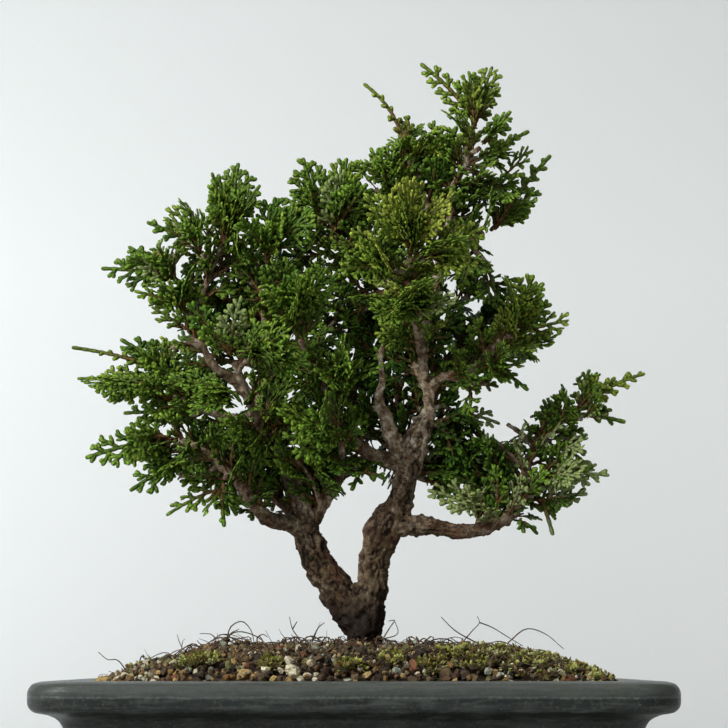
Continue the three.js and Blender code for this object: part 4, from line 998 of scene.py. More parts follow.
def build_wood(material, depth):
    """The tree's wood: tubes along every limb and twig, the thick ones joined in one skin, lifted by the
    bark's relief. The foot is darker towards the bottom, the wood deep inside the crown gets painted shade,
    and the scars are pale."""
    runs = wood_runs()
    tubes = [sweep(run.centres, run.radii, run.sides) for run in runs]
    thin = [tube for run, tube in zip(runs, tubes) if not run.thick]
    skin, skin_normals, quads = remeshed(*stacked([tube for run, tube in zip(runs, tubes) if run.thick]),
                                         BARK_VOXEL)
    points, faces = stacked([(skin, quads), *thin])
    normals = np.vstack([skin_normals, *(tube[2] for tube in thin)])
    centres = np.vstack([run.centres for run in runs])
    radii = np.concatenate([run.radii for run in runs])
    sample = nearest_sample(points, centres, radii)
    frames = [np.vstack(parts)[sample] for parts in zip(*(frames_along(run.centres) for run in runs))]
    along = np.concatenate([
        BARK_APART * k + np.append(0, np.cumsum(np.linalg.norm(np.diff(run.centres, axis=0), axis=1)))
        for k, run in enumerate(runs)
    ])[sample]
    grey, rough = (np.concatenate([np.full(len(run.centres), getattr(run, name)) for run in runs])[sample]
                   for name in ("grey", "knobs"))
    radii = radii[sample]
    height = points[:, 2]
    lift, crack = bark_relief(points, points - centres[sample], frames, along, radii, rough)
    lift = np.maximum(lift, -0.45 * radii)
    # Weathered grey, the leader's also painted light, and greyer from 106 to 118 mm up
    weathering_and_light = np.clip(grey + 0.3 * relief(points, 7.0, 8) + 0.3 * smooth(106, 118, height), 0, 1)
    scar = np.zeros(len(points))
    for x, y, z, reach in SCARS:
        away = np.linalg.norm((points - [x, y, z]) * [1, 1, 0.6], axis=1)
        scar = np.maximum(scar, smooth(reach, reach * 0.7, away))
    # The foot takes the cracks' near black, darker towards the bottom
    crack = np.maximum(crack, smooth(*DARK_FOOT, height))
    # Channels: grey, partly painted light; cracks and the darker foot; painted shade in the crown; scars
    values = np.stack([weathering_and_light, crack, depth(points) * (1 - grey), scar], axis=1)
    return mesh_piece("trunk_and_branches_bark", points + normals * lift[:, None], faces, "bark", material,
                      ["trunk_and_branches"], wood=values)


# ---------- foliage ----------

def stem_of(s):
    """The heading of a spray's stem, which goes straight on from the end of its limb or twig, and its
    end."""
    end, just_before = carrier_points(s, np.array([1.0, 0.9999]))
    outward = unit(end - just_before)
    return outward, end + outward * STEM_LENGTH


def front_or_rear(y):
    """Which way fronds at this depth face: 1 backward, -1 to the front."""
    return 1 if y > REAR_FROM else -1


def loose_face(y, low):
    """A random way that the upper side of a frond at this depth looks, always a little up, at least by
    low."""
    sideways = rng.normal(0, 0.7)
    onward = front_or_rear(y) * rng.uniform(0.1, 1)
    return unit(np.array([sideways, onward, rng.uniform(low, 1.2)]))


def bowed(start, tip, heart, pull, rise):
    """The bend of a frond: midway, drawn to the spray's heart by the share of pull, and lifted."""
    return mix(mix(start, tip, 0.5), heart, pull) + UP * rise


def frond_ribs():
    """Each frond's rib: from the end of the spray's stem, past a bend drawn to the heart, to the tip."""
    rows = []
    for s, (_, _, heart, tips) in enumerate(SPRAYS):
        heart = np.array(heart, float)
        _, start = stem_of(s)
        for f, (x, y, z, breadth) in enumerate(tips):
            tip = np.array([x, y, z], float)
            bend = bowed(start, tip, heart, 0.35, 0.07 * np.linalg.norm(tip - start))
            seed = s * 10 + f
            turn = 1.1 * (draw(seed + 0.7) - 0.5)
            lift = 0.45 + 0.75 * (draw(seed + 0.3) - 0.5)
            face = unit(np.array([math.sin(turn), front_or_rear(heart[1]) * math.cos(turn), lift]))
            rows.append((start, bend, tip, face, s, breadth))
    return rows


def extra_fronds():
    """More fronds that fill the sprays: one between every two tips of a spray, some for the ways between
    all its tips, and small ones on the last stretch of what carries it. None has its tip or its middle in
    an opening."""
    rows = []
    for s, (name, _, heart, tips) in enumerate(SPRAYS):
        heart = np.array(heart, float)
        outward, start = stem_of(s)
        ends = [np.array(tip[:3], float) for tip in tips]
        for a in range(len(ends) if len(ends) > 2 else 1):
            ways = [ends[k] - start for k in (a, (a + 1) % len(ends))]
            way = unit(unit(ways[0]) + unit(ways[1]) + rng.normal(0, 0.18, 3))
            span = rng.uniform(0.62, 0.86) * np.mean([np.linalg.norm(end) for end in ways])
            tip = start + way * span
            face = loose_face(heart[1], 0.2)
            if not in_opening(tip, mix(start, tip, 0.6)):
                rows.append((start, bowed(start, tip, heart, 0.3, 0.08 * span), tip, face, s,
                             rng.uniform(0.85, 1.1)))
        for _ in range(MORE_PLUMES.get(name, PLUMES)):
            share = rng.dirichlet(np.ones(len(ends)))
            middle = sum(part * point for part, point in zip(share, ends))
            span = np.linalg.norm(middle - start) * rng.uniform(0.7, 1.0)
            root = start - outward * rng.uniform(0, 3)
            tip = root + unit(middle - start + rng.normal(0, 0.14, 3) * span) * span
            face = loose_face(heart[1], 0.2)
            if not in_opening(tip, mix(root, tip, 0.6)):
                rows.append((root, bowed(root, tip, heart, 0.3, 0.06 * span), tip, face, s,
                             rng.uniform(0.85, 1.1)))
        reach = path_length(carrier_points(s, np.linspace(0, 1, 60)))
        back = BACK_FROM_END[BACK_FROM_END < 0.8 * reach]
        for place in carrier_points(s, 1 - back / reach):
            way = unit(outward * rng.uniform(0.2, 0.9) + rng.normal(0, 0.6, 3) + UP * 0.25)
            span = rng.uniform(11, 18)
            tip = place + way * span
            if not in_opening(tip, mix(place, tip, 0.6)):
                bend = mix(place, tip, 0.5) + outward * 0.2 * span
                rows.append((place, bend, tip, loose_face(heart[1], 0.3), s, rng.uniform(0.9, 1.2)))
    return rows


def thin_runs():
    """All limbs and inner twigs that bear fronds: points, radii, and the sprays that these fronds join."""
    for name in LIMBS:
        mine = [s for s, spray in enumerate(SPRAYS) if spray[1] == name]
        if mine:
            yield *limb_points(name), mine
    names = [spray[0] for spray in SPRAYS]
    for name, path in INNER_TWIGS:
        yield np.array(path, float), np.full(len(path), TWIG_RADII[0]), [names.index(name)]


def inner_fronds():
    """Small fronds all round the thin wood, each a golden angle further round than the last. Those whose
    tips are seen in an opening of the crown are left out."""
    rows = []
    for points, radii, mine in thin_runs():
        hearts = np.array([SPRAYS[s][2] for s in mine], float)
        length = path_length(through(points, np.linspace(0, 1, 200)))
        t = np.arange(0.5, length / INNER_PITCH) * INNER_PITCH / length
        places = through(points, t)
        heading, across, over = frames_along(places)
        thin = np.interp(t * (len(points) - 1), np.arange(len(points)), radii) < INNER_RADIUS
        for k in np.flatnonzero(thin):
            turn = GOLDEN_ANGLE * k + rng.uniform(-0.4, 0.4)
            side = math.cos(turn) * across[k] + math.sin(turn) * over[k]
            way = unit(side + heading[k] * rng.uniform(0.2, 0.9) + UP * 0.3)
            span = rng.uniform(11, 19)
            tip = places[k] + way * span
            if not in_opening(tip, mix(places[k], tip, 0.6)):
                s = mine[int(np.linalg.norm(hearts - tip, axis=1).argmin())]
                bend = mix(places[k], tip, 0.5) + heading[k] * 0.15 * span
                rows.append((places[k], bend, tip, loose_face(tip[1], 0.3), s, rng.uniform(0.9, 1.2)))
    return rows


def in_opening(*points):
    """Whether any of these points, seen from the front and carried to the plane of the trunk, is in an
    opening, or stands before bare wood."""
    for point in points:
        share = CAMERA_DISTANCE / (CAMERA_DISTANCE + point[1])
        x, z = CAMERA_X + (point[0] - CAMERA_X) * share, CAMERA_Z + (point[2] - CAMERA_Z) * share
        before_trunks = point[1] < -1
        boxes = OPENINGS + BARE_FRONT if before_trunks else OPENINGS
        if any(left <= x <= right and low <= z <= high for left, right, low, high in boxes):
            return True
    return False


def ribs_of(rows):
    """The ribs as shoots, each with a green of its own, brown near the stem, and the breadth of each
    frond."""
    root, bend, tip, face, spray, breadth = (np.array(column, float) for column in zip(*rows))
    count = len(root)
    spray = spray.astype(int)
    # Partly painted light and shade: lighter greens on the front sprays, darker on the rear and inner ones
    brightness = np.array([BRIGHT.get(SPRAYS[s][0], USUAL_BRIGHT) for s in spray])
    tint = np.clip(brightness + rng.normal(0, 0.12, count), 0, 1)
    young = np.tile([0.0, 0.8], (count, 1))
    woody = np.stack([np.full(count, 1.35), rng.uniform(-0.9, -0.1, count)], axis=1)
    share = np.array([PALE.get(SPRAYS[s][0], USUAL_PALE) for s in spray])
    turned_over = rng.uniform(0, 1, count) < share
    pale = np.where(turned_over, rng.uniform(0.6, 1.0, count), rng.uniform(0, 0.25, count))
    half = np.full(count, FROND_HALF)
    return Shoots(root, bend, tip, face, half, spray, tint, pale, young, woody), breadth


def side_shoots(parents, longest, arc, pitch, first, angle, half):
    """Shoots that leave their parents by turns on the left and the right, one every pitch, from the share
    `first` of the parent's length. Each starts off at the angle, curves forward and droops a little. Its
    length is the longest of its parent's shoots times the sine of its place on the arc, in half turns."""
    length = parents.length
    count = np.maximum(0, np.floor((0.97 - first) * length / pitch)).astype(int)
    owner = np.repeat(np.arange(len(count)), count)
    rank = np.arange(owner.size) - np.repeat(np.cumsum(count) - count, count)
    jitter = rng.uniform(-0.18, 0.18, owner.size)
    t = first + (rank + 0.5 + jitter) * pitch / length[owner]
    side = np.where((rank + owner) % 2, 1.0, -1.0)
    parent = parents.pick(owner)
    reach = longest[owner] * np.sin(np.pi * mix(*arc, t)) * rng.uniform(0.86, 1.12, owner.size)
    heading = parent.heading(t)
    across = unit(np.cross(parent.face, heading))
    over = unit(np.cross(heading, across))
    turn = angle * rng.uniform(0.88, 1.12, owner.size)

    def toward(share):
        return heading * np.cos(turn * share)[:, None] + across * (side * np.sin(turn * share))[:, None]

    root = parent.at(t)
    bend = root + toward(1.0) * (0.5 * reach)[:, None]
    tip = bend + (toward(0.7) - over * rng.uniform(-0.1, 0.3, owner.size)[:, None]) * (0.5 * reach)[:, None]
    face = unit(over + across * rng.normal(0, 0.22, owner.size)[:, None])
    young, woody = (mix(value[:, 0], value[:, 1], t) for value in (parent.young, parent.woody))
    tint = np.clip(parent.tint + rng.normal(0, 0.07, owner.size), 0, 1)
    shoots = Shoots(root, bend, tip, face, half * rng.uniform(0.88, 1.12, owner.size), parent.spray, tint,
                    parent.pale, np.stack([young * 0.7, np.clip(young + 0.45, 0, 1.2)], axis=1),
                    np.stack([woody - 0.35, woody - 1.1], axis=1))
    return shoots.pick(reach > 1.5)


def grow_foliage():
    """All shoots: ribs, side shoots within each frond's outline, their side shoots, and short stubs on the
    longest of these. The stubs' lengths follow the list of second shoots from its start, not their own
    parents."""
    ribs, breadth = ribs_of(frond_ribs() + extra_fronds() + inner_fronds())
    longest = ribs.length * 0.42 * np.minimum(breadth, 1.1)
    first = side_shoots(ribs, longest, arc=(0.3, 0.95), pitch=2.5, first=0.08, angle=0.84, half=0.78)
    longest = np.minimum(first.length * 0.5, 5.0)
    second = side_shoots(first, longest, arc=(0.36, 0.93), pitch=1.85, first=0.12, angle=0.82, half=0.7)
    longest = np.minimum(second.length * 0.5, 2.6)
    third = side_shoots(second.pick(second.length > 3.2), longest, arc=(0.4, 0.93), pitch=1.8, first=0.2,
                        angle=0.8, half=0.62)
    return joined([ribs, first, second, third])


def shade_in_crown(shoots):
    """A function that tells how much shade points get deep in the crown, 0 outside to 1 in its middle, for
    the painted shade of foliage and bark. The shoots' length is added up in cubes, and from each point the
    cubes are added up along 26 ways: what a way lets through is e to the power of minus its sum times a
    factor, and upward ways count more."""
    low = shoots.tip.min(axis=0) - 12 * CUBE
    size = np.ceil((shoots.tip.max(axis=0) + 12 * CUBE - low) / CUBE).astype(int)
    grid = np.zeros(size)
    middle = shoots.at(np.full(len(shoots.tip), 0.5))
    np.add.at(grid, tuple(((middle - low) / CUBE).astype(int).T), shoots.length)
    ways = unit(np.array([way for way in np.ndindex(3, 3, 3) if way != (1, 1, 1)]) - 1.0)

    def depth(points):
        light = np.zeros(len(points))
        for way in ways:
            passed = np.zeros(len(points))
            for step in range(1, CUBE_STEPS + 1):
                cell = ((points + way * step * CUBE - low) / CUBE).astype(int)
                passed += grid[tuple(np.clip(cell, 0, size - 1).T)]
            light += np.exp(-passed * THROUGH) * (1.5 + way[2])
        return 1 - light / (1.5 + ways[:, 2]).sum()

    return depth


def scaly_mesh(shoots, depth):
    """Points, faces and values of many shoots. Each pair of scale leaves is a ring at the joint, narrow,
    and a ring further on, wide; the last one ends round. A ring has three points: left edge, upper ridge,
    right edge."""
    scales = np.clip(np.round(shoots.length / SCALE), 1, 20).astype(int)
    parts, before = [], 0
    for count in np.unique(scales):
        group = shoots.pick(scales == count)
        size = len(group.root)
        joint_t = np.arange(count) / count
        t = np.append(np.stack([joint_t, joint_t + BELLY_AT / count], axis=1).ravel(), 1.0)
        wide = np.append(np.tile([JOINT_WIDTH, BELLY_WIDTH], count), TIP_WIDTH)
        spot, heading = (np.stack([place(np.full(size, value)) for value in t], axis=1)
                         for place in (group.at, group.heading))
        across = unit(np.cross(group.face[:, None], heading))
        over = np.cross(heading, across)
        half = (group.half[:, None] * wide)[..., None]
        ring = np.stack([
            spot - across * half - over * half * 0.12,
            spot + over * half * 0.46,
            spot + across * half - over * half * 0.12,
        ], axis=2)
        pole = spot[:, -1:] + heading[:, -1:] * half[:, -1:] * 0.5
        points = np.concatenate([ring.reshape(size, -1, 3), pole], axis=1)
        per_shoot = points.shape[1]
        one = np.vstack([
            ring_faces(len(t), 3)[:, ::-1],
            [[0, 1, 2, -1]],
            fan(per_shoot - 1, np.arange(3) + per_shoot - 4, outward=False),
        ])
        faces = np.where(one < 0, -1, one + (np.arange(size) * per_shoot + before)[:, None, None])
        at = np.append(np.repeat(t, 3), 1.0)
        young, woody = (np.clip(mix(value[:, :1], value[:, 1:], at), 0, 1)
                        for value in (group.young, group.woody))
        # inside: the painted shade deep in the crown at each shoot
        tint, pale, inside = (np.repeat(value[:, None], per_shoot, axis=1)
                              for value in (group.tint, group.pale, depth(group.at(np.full(size, 0.7)))))
        joint = np.append(np.repeat(np.append(np.tile([1.0, 0.0], count), 0.0), 3), 0.0)
        values = np.stack([young, tint, woody, np.tile(joint, (size, 1)), pale, inside], axis=-1)
        parts.append((points.reshape(-1, 3), faces.reshape(-1, 4), values.reshape(-1, 6)))
        before += size * per_shoot
    return (np.concatenate(column) for column in zip(*parts))


def build_foliage(material, shoots, depth):
    """One leafy piece for each spray."""
    for s, (name, *_rest) in enumerate(SPRAYS):
        points, faces, values = scaly_mesh(shoots.pick(shoots.spray == s), depth)
        # inside carries the painted shade deep in the crown
        mesh_piece(name + "_leafy", points, faces, "foliage", material, [name],
                   shoot=values[:, :4], pale=values[:, 4], inside=values[:, 5])


# ---------- soil, moss and rootlets ----------

def mound_level(x, y):
    """Height of the soil: the edge plus the rise and the humps, less with the powers of the share of the
    way to the wall."""
    across = np.minimum(1, np.abs(x) / SOIL_HALF[0])
    deep = np.minimum(1, np.abs(y) / SOIL_HALF[1])
    humps = sum(rise * np.exp(-((x - at_x) ** 2 + (y - at_y) ** 2) / reach**2)
                for at_x, at_y, reach, rise in HUMPS)
    return SOIL_EDGE + (SOIL_RISE + humps) * (1 - across ** SOIL_FLAT[0]) * (1 - deep ** SOIL_FLAT[1])


def on_mound(x, y, above):
    """Points at heights above the soil."""
    return np.column_stack([x, y, mound_level(x, y) + above])


def rounded_ring(inset, z, corner_steps=10, edge_steps=14):
    """An oblong with round corners, as far in from the lip as the inset, counter-clockwise: for each corner
    its quarter round, and the straight edge to the start of the next."""
    inset = np.asarray(inset, float)
    radius = np.maximum(LEAST_CORNER, POT_CORNER - 0.45 * inset)[:, None]
    half_x = (POT_HALF[0] - inset)[:, None] - radius
    half_y = (POT_HALF[1] - inset)[:, None] - radius
    corners = [(1, 1), (-1, 1), (-1, -1), (1, -1)]
    share = np.linspace(0, 1, edge_steps + 2)[1:-1]
    parts = []
    for quarter, (sx, sy) in enumerate(corners):
        angle = (quarter + np.linspace(0, 1, corner_steps + 1)) * np.pi / 2
        round_x, round_y = radius * np.cos(angle), radius * np.sin(angle)
        parts.append(np.stack([sx * half_x + round_x, sy * half_y + round_y], axis=-1))
        next_x, next_y = corners[(quarter + 1) % 4]
        there = np.stack([next_x * half_x + round_x[:, -1:], next_y * half_y + round_y[:, -1:]], axis=-1)
        parts.append(mix(parts[-1][:, -1:], there, share[:, None]))
    flat = np.concatenate(parts, axis=1)
    height = np.broadcast_to(np.asarray(z, float)[:, None, None], (*flat.shape[:2], 1))
    return np.concatenate([flat, height], axis=-1)


def build_mound(material):
    """The soil below its grains: rings shrink from the pot's wall to the middle, a little below the mound's
    height with a relief of 0.9 mm, over rings that go down inside the wall to a flat bottom."""
    below = rounded_ring([22.4, 17.8, 16.0, 15.4], [14.5, 18.3, 38.0, 57.0])
    rim = rounded_ring([15.4], [57.5])
    share = np.linspace(1, 0.02, 44)
    above = rim * np.stack([share, share, np.ones(44)], axis=-1)[:, None]
    flat = above.reshape(-1, 3)
    flat[:, 2] = mound_level(flat[:, 0], flat[:, 1]) - 1.9 + 0.9 * relief(flat, 4.0, 11)
    rings = np.concatenate([below, flat.reshape(above.shape)])
    points, faces = capped(rings, [[0, 0, below[0, 0, 2]]], [[0, 0, flat[-1, 2]]])
    dark = np.tile(linear("#3a2a1e"), (len(points), 1))
    return mesh_piece("soil_bed", points, faces, "soil_grains", material, ["soil"], grain=dark)


def globe(sides, rings):
    """A unit ball of few faces: rings between two poles."""
    tall = np.pi * np.arange(1, rings + 1)[:, None] / (rings + 1)
    turn = 2 * np.pi * np.arange(sides) / sides
    height = np.repeat(-np.cos(tall), sides, axis=1)
    ring = np.stack([np.sin(tall) * np.cos(turn), np.sin(tall) * np.sin(turn), height], axis=-1)
    return capped(ring, [[0, 0, -1]], [[0, 0, 1]])


def turned(count):
    """Random turns: matrices of three directions across each other, made from two random vectors."""
    first = unit(rng.normal(size=(count, 3)))
    second = rng.normal(size=(count, 3))
    second = unit(second - first * (first * second).sum(1)[:, None])
    return np.stack([first, second, np.cross(first, second)], axis=2)


def copies(shape, turns, sizes, places, bumps):
    """Many copies of one small shape, each with its own size, turn and place, and every point of each moved
    out or in at random by a share from the range of bumps."""
    points, faces = shape
    bump = rng.uniform(*bumps, (len(places), len(points)))
    swollen = points[None] * (1 + bump)[..., None] * sizes[:, None]
    moved = np.einsum("nij,nkj->nki", turns, swollen) + places[:, None]
    step = (np.arange(len(places)) * len(points))[:, None, None]
    return moved.reshape(-1, 3), np.where(faces < 0, -1, faces + step).reshape(-1, 4)


def scattered(pitch):
    """Places on the mound: rows shifted by half a pitch, each place moved at random, inside the pot's wall
    and clear of the trunk."""
    x, y = np.meshgrid(np.arange(-84, 84, pitch), np.arange(-61, 61, pitch * 0.87))
    x = x + (np.arange(len(x)) % 2)[:, None] * pitch / 2
    spot = np.stack([x.ravel(), y.ravel()], axis=1)
    spot = spot + rng.uniform(-0.32, 0.32, spot.shape) * pitch
    inside = (np.abs(spot) < LOOSE_HALF).all(axis=1)
    return spot[inside & (np.hypot(spot[:, 0] - TRUNK_X, spot[:, 1]) > TRUNK_CLEAR)]


def painted(palette, count, spread):
    """Colours drawn from a palette of (hex, share), each a little lighter or darker."""
    share = np.array([part for _, part in palette], float)
    kind = rng.choice(len(palette), count, p=share / share.sum())
    colours = np.array([linear(code) for code, _ in palette])[kind]
    colours[:, :3] *= rng.uniform(1 - spread, 1 + spread, (count, 1))
    return colours


def build_grains(material):
    """Grains of 2 to 4.5 mm over the mound, and crumbs of 1 to 1.6 mm between and on them: balls of few
    faces, stretched, dented and turned."""
    spot = scattered(GRAIN_PITCH)
    count = len(spot)
    size = np.clip(rng.lognormal(math.log(GRAIN_RADIUS), 0.3, count), 0.75, 2.4)
    sizes = size[:, None] * rng.uniform(0.7, 1.2, (count, 3))
    places = on_mound(*spot.T, rng.uniform(-1.5, 0.7, count)) - [0, 0, 0.4]
    shape = globe(sides=5, rings=3)
    grains = copies(shape, turned(count), sizes, places, (-0.3, 0.25))
    x, y = rng.uniform(-80, 80, CRUMBS), rng.uniform(-57, 57, CRUMBS)
    places = on_mound(x, y, rng.uniform(-0.2, 1.3, CRUMBS))
    crumb = globe(sides=4, rings=2)
    sizes = rng.uniform(0.4, 0.85, (CRUMBS, 1)) * rng.uniform(0.7, 1.3, (CRUMBS, 3))
    crumbs = copies(crumb, turned(CRUMBS), sizes, places, (-0.3, 0.3))
    points, faces = stacked([grains, crumbs])
    front = (spot[:, 1] < FRONT_EDGE) & (rng.uniform(0, 1, count) < 0.6)
    paint = np.where(front[:, None], painted(FRONT_GRAINS, count, 0.2), painted(GRAINS, count, 0.3))
    colours = np.vstack([
        np.repeat(paint, len(shape[0]), axis=0),
        np.repeat(painted(GRAINS, CRUMBS, 0.35), len(crumb[0]), axis=0),
    ])
    return mesh_piece("soil_grain_layer", points, faces, "soil_grains", material, smooth_shaded=False,
                      grain=colours)


def build_moss(material):
    """Leafy moss: rosettes of broad folded leaflets over brown cushions. A leaflet has four faces: root,
    left and right corner at its widest, tip."""
    patch = np.array(MOSS, float)
    owner = np.repeat(np.arange(len(patch)), ROSETTES)
    turn = rng.uniform(0, 2 * np.pi, owner.size)
    away = patch[owner, 2] * np.sqrt(rng.uniform(0, 1, owner.size))
    x = np.clip(patch[owner, 0] + away * np.cos(turn), -81, 81)
    y = np.clip(patch[owner, 1] + away * np.sin(turn), -58, 57)
    size = rng.uniform(0.8, 1.7, owner.size)
    centre = on_mound(x, y, rng.uniform(0.2, 1.4, owner.size))
    shape = globe(sides=6, rings=2)
    unturned = np.tile(np.eye(3), (owner.size, 1, 1))
    cushion = copies(shape, unturned, size[:, None] * [1.0, 1.0, 0.8], centre, (-0.3, 0.3))
    home = np.repeat(np.arange(owner.size), LEAFLETS)
    way = unit(rng.normal(size=(home.size, 3)) * [1, 1, 0.5] + [0, -0.2, 0.55])
    across = unit(np.cross(way, rng.normal(size=way.shape) + 2 * UP))
    over = np.cross(across, way)
    length = rng.uniform(0.9, 2.0, home.size)[:, None]
    wide = length * rng.uniform(0.22, 0.42, home.size)[:, None]
    root = centre[home] + way * size[home, None] * 0.7
    middle = root + way * length * 0.6
    blade = np.stack([root, middle + across * wide - over * 0.12, middle - across * wide - over * 0.12,
                      root + way * length + over * 0.15], axis=1)
    corner = np.array([[0, 1, 3, -1], [1, 2, 3, -1], [2, 0, 3, -1], [0, 2, 1, -1]])
    step = (np.arange(home.size) * 4)[:, None, None]
    blades = (blade.reshape(-1, 3), np.where(corner < 0, -1, corner + step).reshape(-1, 4))
    points, faces = stacked([cushion, blades])
    base = np.repeat(painted(MOSS_BASES, owner.size, 0.3), len(shape[0]), axis=0)
    green = np.repeat(painted(MOSS_GREENS, owner.size, 0.2)[home], 4, axis=0)
    dark_root_light_tip = np.tile([0.35, 0.8, 0.8, 1.25], home.size)
    green[:, :3] *= dark_root_light_tip[:, None]
    return mesh_piece("moss_patches", points, faces, "foliage", material, smooth_shaded=False,
                      grain=np.vstack([base, green]))


def strand(knots, thick, steps, sides):
    """A tapering tube through a few points."""
    t = np.linspace(0, 1, steps)
    return sweep(through(np.array(knots, float), t), thick * (1 - 0.5 * t), sides)


def build_rootlets(material):
    """Dry rootlets on the soil: taller ones, low arcs, every third with a fork, and short fibres lying on
    the grains."""
    shapes = [strand(knots, rng.uniform(0.2, 0.28), steps=12, sides=5) for knots in TALL_ROOTLETS]
    for k in range(ROOTLETS):
        third = k % 3 == 0
        middle, spread = LEFT_ROOTLETS if third else OTHER_ROOTLETS
        x = float(np.clip(rng.normal(middle, spread), -68, 68))
        y = rng.uniform(-50, 30)
        turn = rng.uniform(0, 2 * np.pi)
        way = np.array([math.cos(turn), 0.6 * math.sin(turn), 0.0])
        start = on_mound(x, y, 0.2)[0]
        end = start + way * rng.uniform(6, 20)
        end[2] = mound_level(end[0], end[1]) + 0.2
        knots = mix(start, end, np.array([0, 0.25, 0.5, 0.75, 1])[:, None])
        knots[1:4] += rng.normal(0, 1.0, (3, 3))
        knots[1:4] = on_mound(knots[1:4, 0], knots[1:4, 1], rng.uniform(0.9, 4.0, 3))
        thick = rng.uniform(0.16, 0.3)
        shapes.append(strand(knots, thick, steps=11, sides=4))
        if third:
            fork = knots[2]
            free = fork + unit(way + rng.normal(0, 0.7, 3) + UP * 0.7) * rng.uniform(2.5, 6)
            middle = mix(fork, free, 0.5) + rng.normal(0, 0.4, 3)
            shapes.append(strand([fork, middle, free], thick * 0.7, steps=5, sides=4))
    for _ in range(FIBRES):
        x, y = float(np.clip(rng.normal(0, 36), -78, 76)), rng.uniform(-57, 50)
        turn = rng.uniform(0, 2 * np.pi)
        half = np.array([math.cos(turn), math.sin(turn), 0.0]) * rng.uniform(1.2, 3.2)
        middle = on_mound(x, y, rng.uniform(0.9, 2.0))[0]
        lift = rng.normal(0, 0.5, (2, 3))
        knots = [middle - half + lift[0], middle + UP * 0.4, middle + half + lift[1]]
        shapes.append(strand(knots, FIBRE_RADIUS, steps=4, sides=3))
    points, faces = stacked(shapes)
    grey_crack_shade_scar = [0.12, 0.2, 0.0, 0.0]
    return mesh_piece("dry_rootlets", points, faces, "bark", material,
                      wood=np.tile(grey_crack_shade_scar, (len(points), 1)))


# ---------- pot ----------

def smooth_profile(points, per_span):
    """The profile's points joined by a curve that passes them all."""
    table = np.array(points, float)
    flat = np.column_stack([table, np.zeros(len(table))])
    return through(flat, np.linspace(0, 1, (len(table) - 1) * per_span + 1))[:, :2]


def closed_loft(rings):
    """A closed skin through rings of points, each end closed to a pole in its middle."""
    return capped(rings, rings[:1].mean(axis=1), rings[-1:].mean(axis=1))


def upright(ring, low, high):
    """A closed bar with a ring of x and y as its outline."""
    return closed_loft(np.stack([np.column_stack([ring, np.full(len(ring), z)]) for z in (low, high)]))


def block(half_x, half_y, low, high):
    """An upright block round the middle."""
    corners = np.array([(1, 1), (-1, 1), (-1, -1), (1, -1)])
    return upright(corners * [float(half_x), half_y], low, high)


def drum(x, radius, low, high, sides=40):
    """An upright round bar."""
    turn = 2 * np.pi * np.arange(sides) / sides
    return upright(np.stack([x + radius * np.cos(turn), radius * np.sin(turn)], axis=-1), low, high)


def build_pot(material):
    """The pot: rounded oblong rings along the profile of wall, lip and inside. Corner feet are an upright
    rim with its middles cut away, and two drain holes are cut through the floor."""
    outside = smooth_profile(POT_OUTSIDE, 5)
    inside = smooth_profile([POT_OUTSIDE[-1], *POT_INSIDE], 4)[1:]
    profile = np.vstack([outside, inside])
    pot = plain_body("pot_glazed", *closed_loft(rounded_ring(profile[:, 1], profile[:, 0])))
    foot, height = FOOT["inset"], FOOT["height"]
    within = foot + FOOT["width"]
    rim = rounded_ring([foot + 1.8, foot + 1.2, foot + 0.7, foot], [0, 0.5, 3, height + 1])
    hollow = rounded_ring([within, within + 1], [-1, height + 2])
    cuts = [
        plain_body("hollow", *closed_loft(hollow)),
        plain_body("gap_x", *block(FOOT["gap_x"], 150, -9, height + 1.4)),
        plain_body("gap_y", *block(150, FOOT["gap_y"], -9, height + 1.4)),
    ]
    feet = plain_body("feet", *closed_loft(rim))
    for cut in cuts:
        apply_boolean(feet, "DIFFERENCE", cut)
    apply_boolean(pot, "UNION", feet)
    for x in (-DRAIN["x"], DRAIN["x"]):
        apply_boolean(pot, "DIFFERENCE", plain_body("drain", *drum(x, DRAIN["radius"], 2, POT_FLOOR + 1)))
    finish_pot(pot, material)
    return pot


def apply_boolean(body, operation, tool):
    """Joins or cuts a body with a tool, and removes the tool."""
    change = body.modifiers.new("change", "BOOLEAN")
    change.operation = operation
    change.solver = "EXACT"
    change.object = tool
    done = bpy.data.meshes.new_from_object(body.evaluated_get(bpy.context.evaluated_depsgraph_get()))
    body.modifiers.clear()
    body.data = done
    bpy.data.objects.remove(tool)


def finish_pot(pot, material):
    """Shading and the glaze's values: thin on the lip's nose and its top, none inside, on the foot's sole
    and under the floor."""
    mesh = pot.data
    spot = read(mesh.vertices, "co", 3) / MM
    reach = np.maximum(np.abs(spot[:, 0]) - POT_HALF[0], np.abs(spot[:, 1]) - POT_HALF[1])
    height = spot[:, 2]
    nose = smooth(-4.5, -0.5, reach) * smooth(50, 54, height)
    edge = smooth(58.5, 59.9, height) * smooth(-16, -10, reach)
    thin = np.clip(np.maximum(nose * 0.15, edge * 0.3) + 0.2 * relief(spot, 6, 21), 0, 1)
    inner = smooth(-14.2, -15.2, reach) * smooth(57.6, 56.2, height) * (height > POT_FLOOR - 0.5)
    under = smooth(10, 8.5, height) * smooth(-14.6, -16.2, reach)
    sole = smooth(1.2, 0.5, height)
    bare = np.clip(np.maximum.reduce([inner, under, sole]), 0, 1)
    for label, value in (("thin", thin), ("bare", bare)):
        mesh.attributes.new(label, "FLOAT", "POINT").data.foreach_set("value", value.astype(np.float32))
    mesh.materials.clear()
    mesh.materials.append(material)
    mesh.shade_smooth()
    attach(pot, "root")
    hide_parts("pot")


# ---------- stage, light and camera ----------

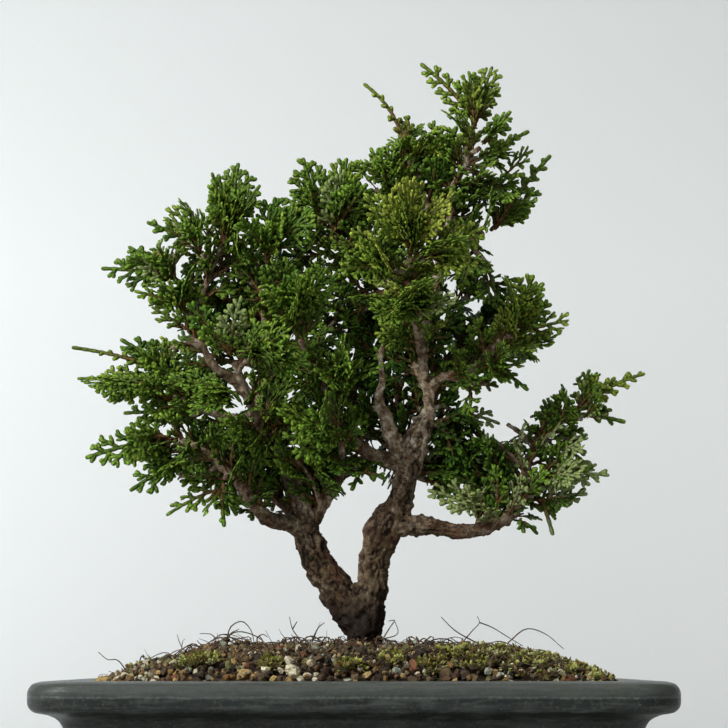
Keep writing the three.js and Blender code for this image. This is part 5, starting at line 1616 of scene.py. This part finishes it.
def build_stage():
    """Floor and backdrop in one sheet: flat, a quarter round, then upright."""
    front, bend_from, radius, top, half_width = -3000, 700, 400, 3200, 3500
    turn = np.linspace(0, np.pi / 2, 16)
    floor = np.stack([np.linspace(front, bend_from, 6), np.zeros(6)], axis=1)
    bend = np.stack([bend_from + radius * np.sin(turn), radius - radius * np.cos(turn)], axis=1)[1:]
    wall = np.stack([np.full(5, bend_from + radius), np.linspace(radius, top, 6)[1:]], axis=1)
    profile = np.vstack([floor, bend, wall])
    across = np.linspace(-half_width, half_width, 9)
    points = np.stack(np.broadcast_arrays(across[None, :], profile[:, :1], profile[:, 1:]), axis=-1)
    faces = ring_faces(len(profile), len(across), closed=False)
    sheet = plain_body("pale_sheet", points.reshape(-1, 3), faces)
    sheet.data.materials.append(stage_material())
    sheet.data.shade_smooth()


def build_light():
    """A dim pale sky and the soft lights, each turned to its aim."""
    world = bpy.data.worlds.new("pale_room")
    world.use_nodes = True
    sky = world.node_tree.nodes["Background"]
    sky.inputs["Color"].default_value = linear("#e8eef4")
    sky.inputs["Strength"].default_value = 0.08
    bpy.context.scene.world = world
    for name, place, aim, size, power, code in LIGHTS:
        light = bpy.data.lights.new(name, "AREA")
        light.shape = "RECTANGLE"
        light.size, light.size_y = (value * MM for value in size)
        light.energy = power
        light.color = linear(code)[:3]
        lamp = placed(name, light)
        lamp.location = np.array(place) * MM
        way = Vector(np.array(aim, float) - np.array(place, float))
        lamp.rotation_euler = way.to_track_quat("-Z", "Y").to_euler()
    bpy.context.scene.view_settings.view_transform = "Standard"


def build_camera():
    """The camera, a little above the pot's lip and tilted up."""
    data = bpy.data.cameras.new("camera")
    data.lens = LENS
    data.sensor_width = 36
    data.clip_start = 0.01
    camera = placed("camera", data)
    camera.location = (CAMERA_X * MM, -CAMERA_DISTANCE * MM, CAMERA_Z * MM)
    camera.rotation_euler = (math.radians(CAMERA_TILT), 0, 0)
    bpy.context.scene.camera = camera


build_camera()
build_light()
build_stage()
bark = bark_material()
leaf = scale_leaf_material()
grain = grain_material()
build_pot(glaze_material())
screen = screen_material()
for side in ("left", "right"):
    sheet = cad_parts["drain_screen_" + side]
    sheet.data.materials.clear()
    sheet.data.materials.append(screen)
shoots = grow_foliage()
# How much painted shade each point gets deep in the crown
crown_shade = shade_in_crown(shoots)
build_wood(bark, crown_shade)
build_foliage(leaf, shoots, crown_shade)
build_mound(grain)
build_grains(grain)
build_moss(moss_material())
build_rootlets(bark)
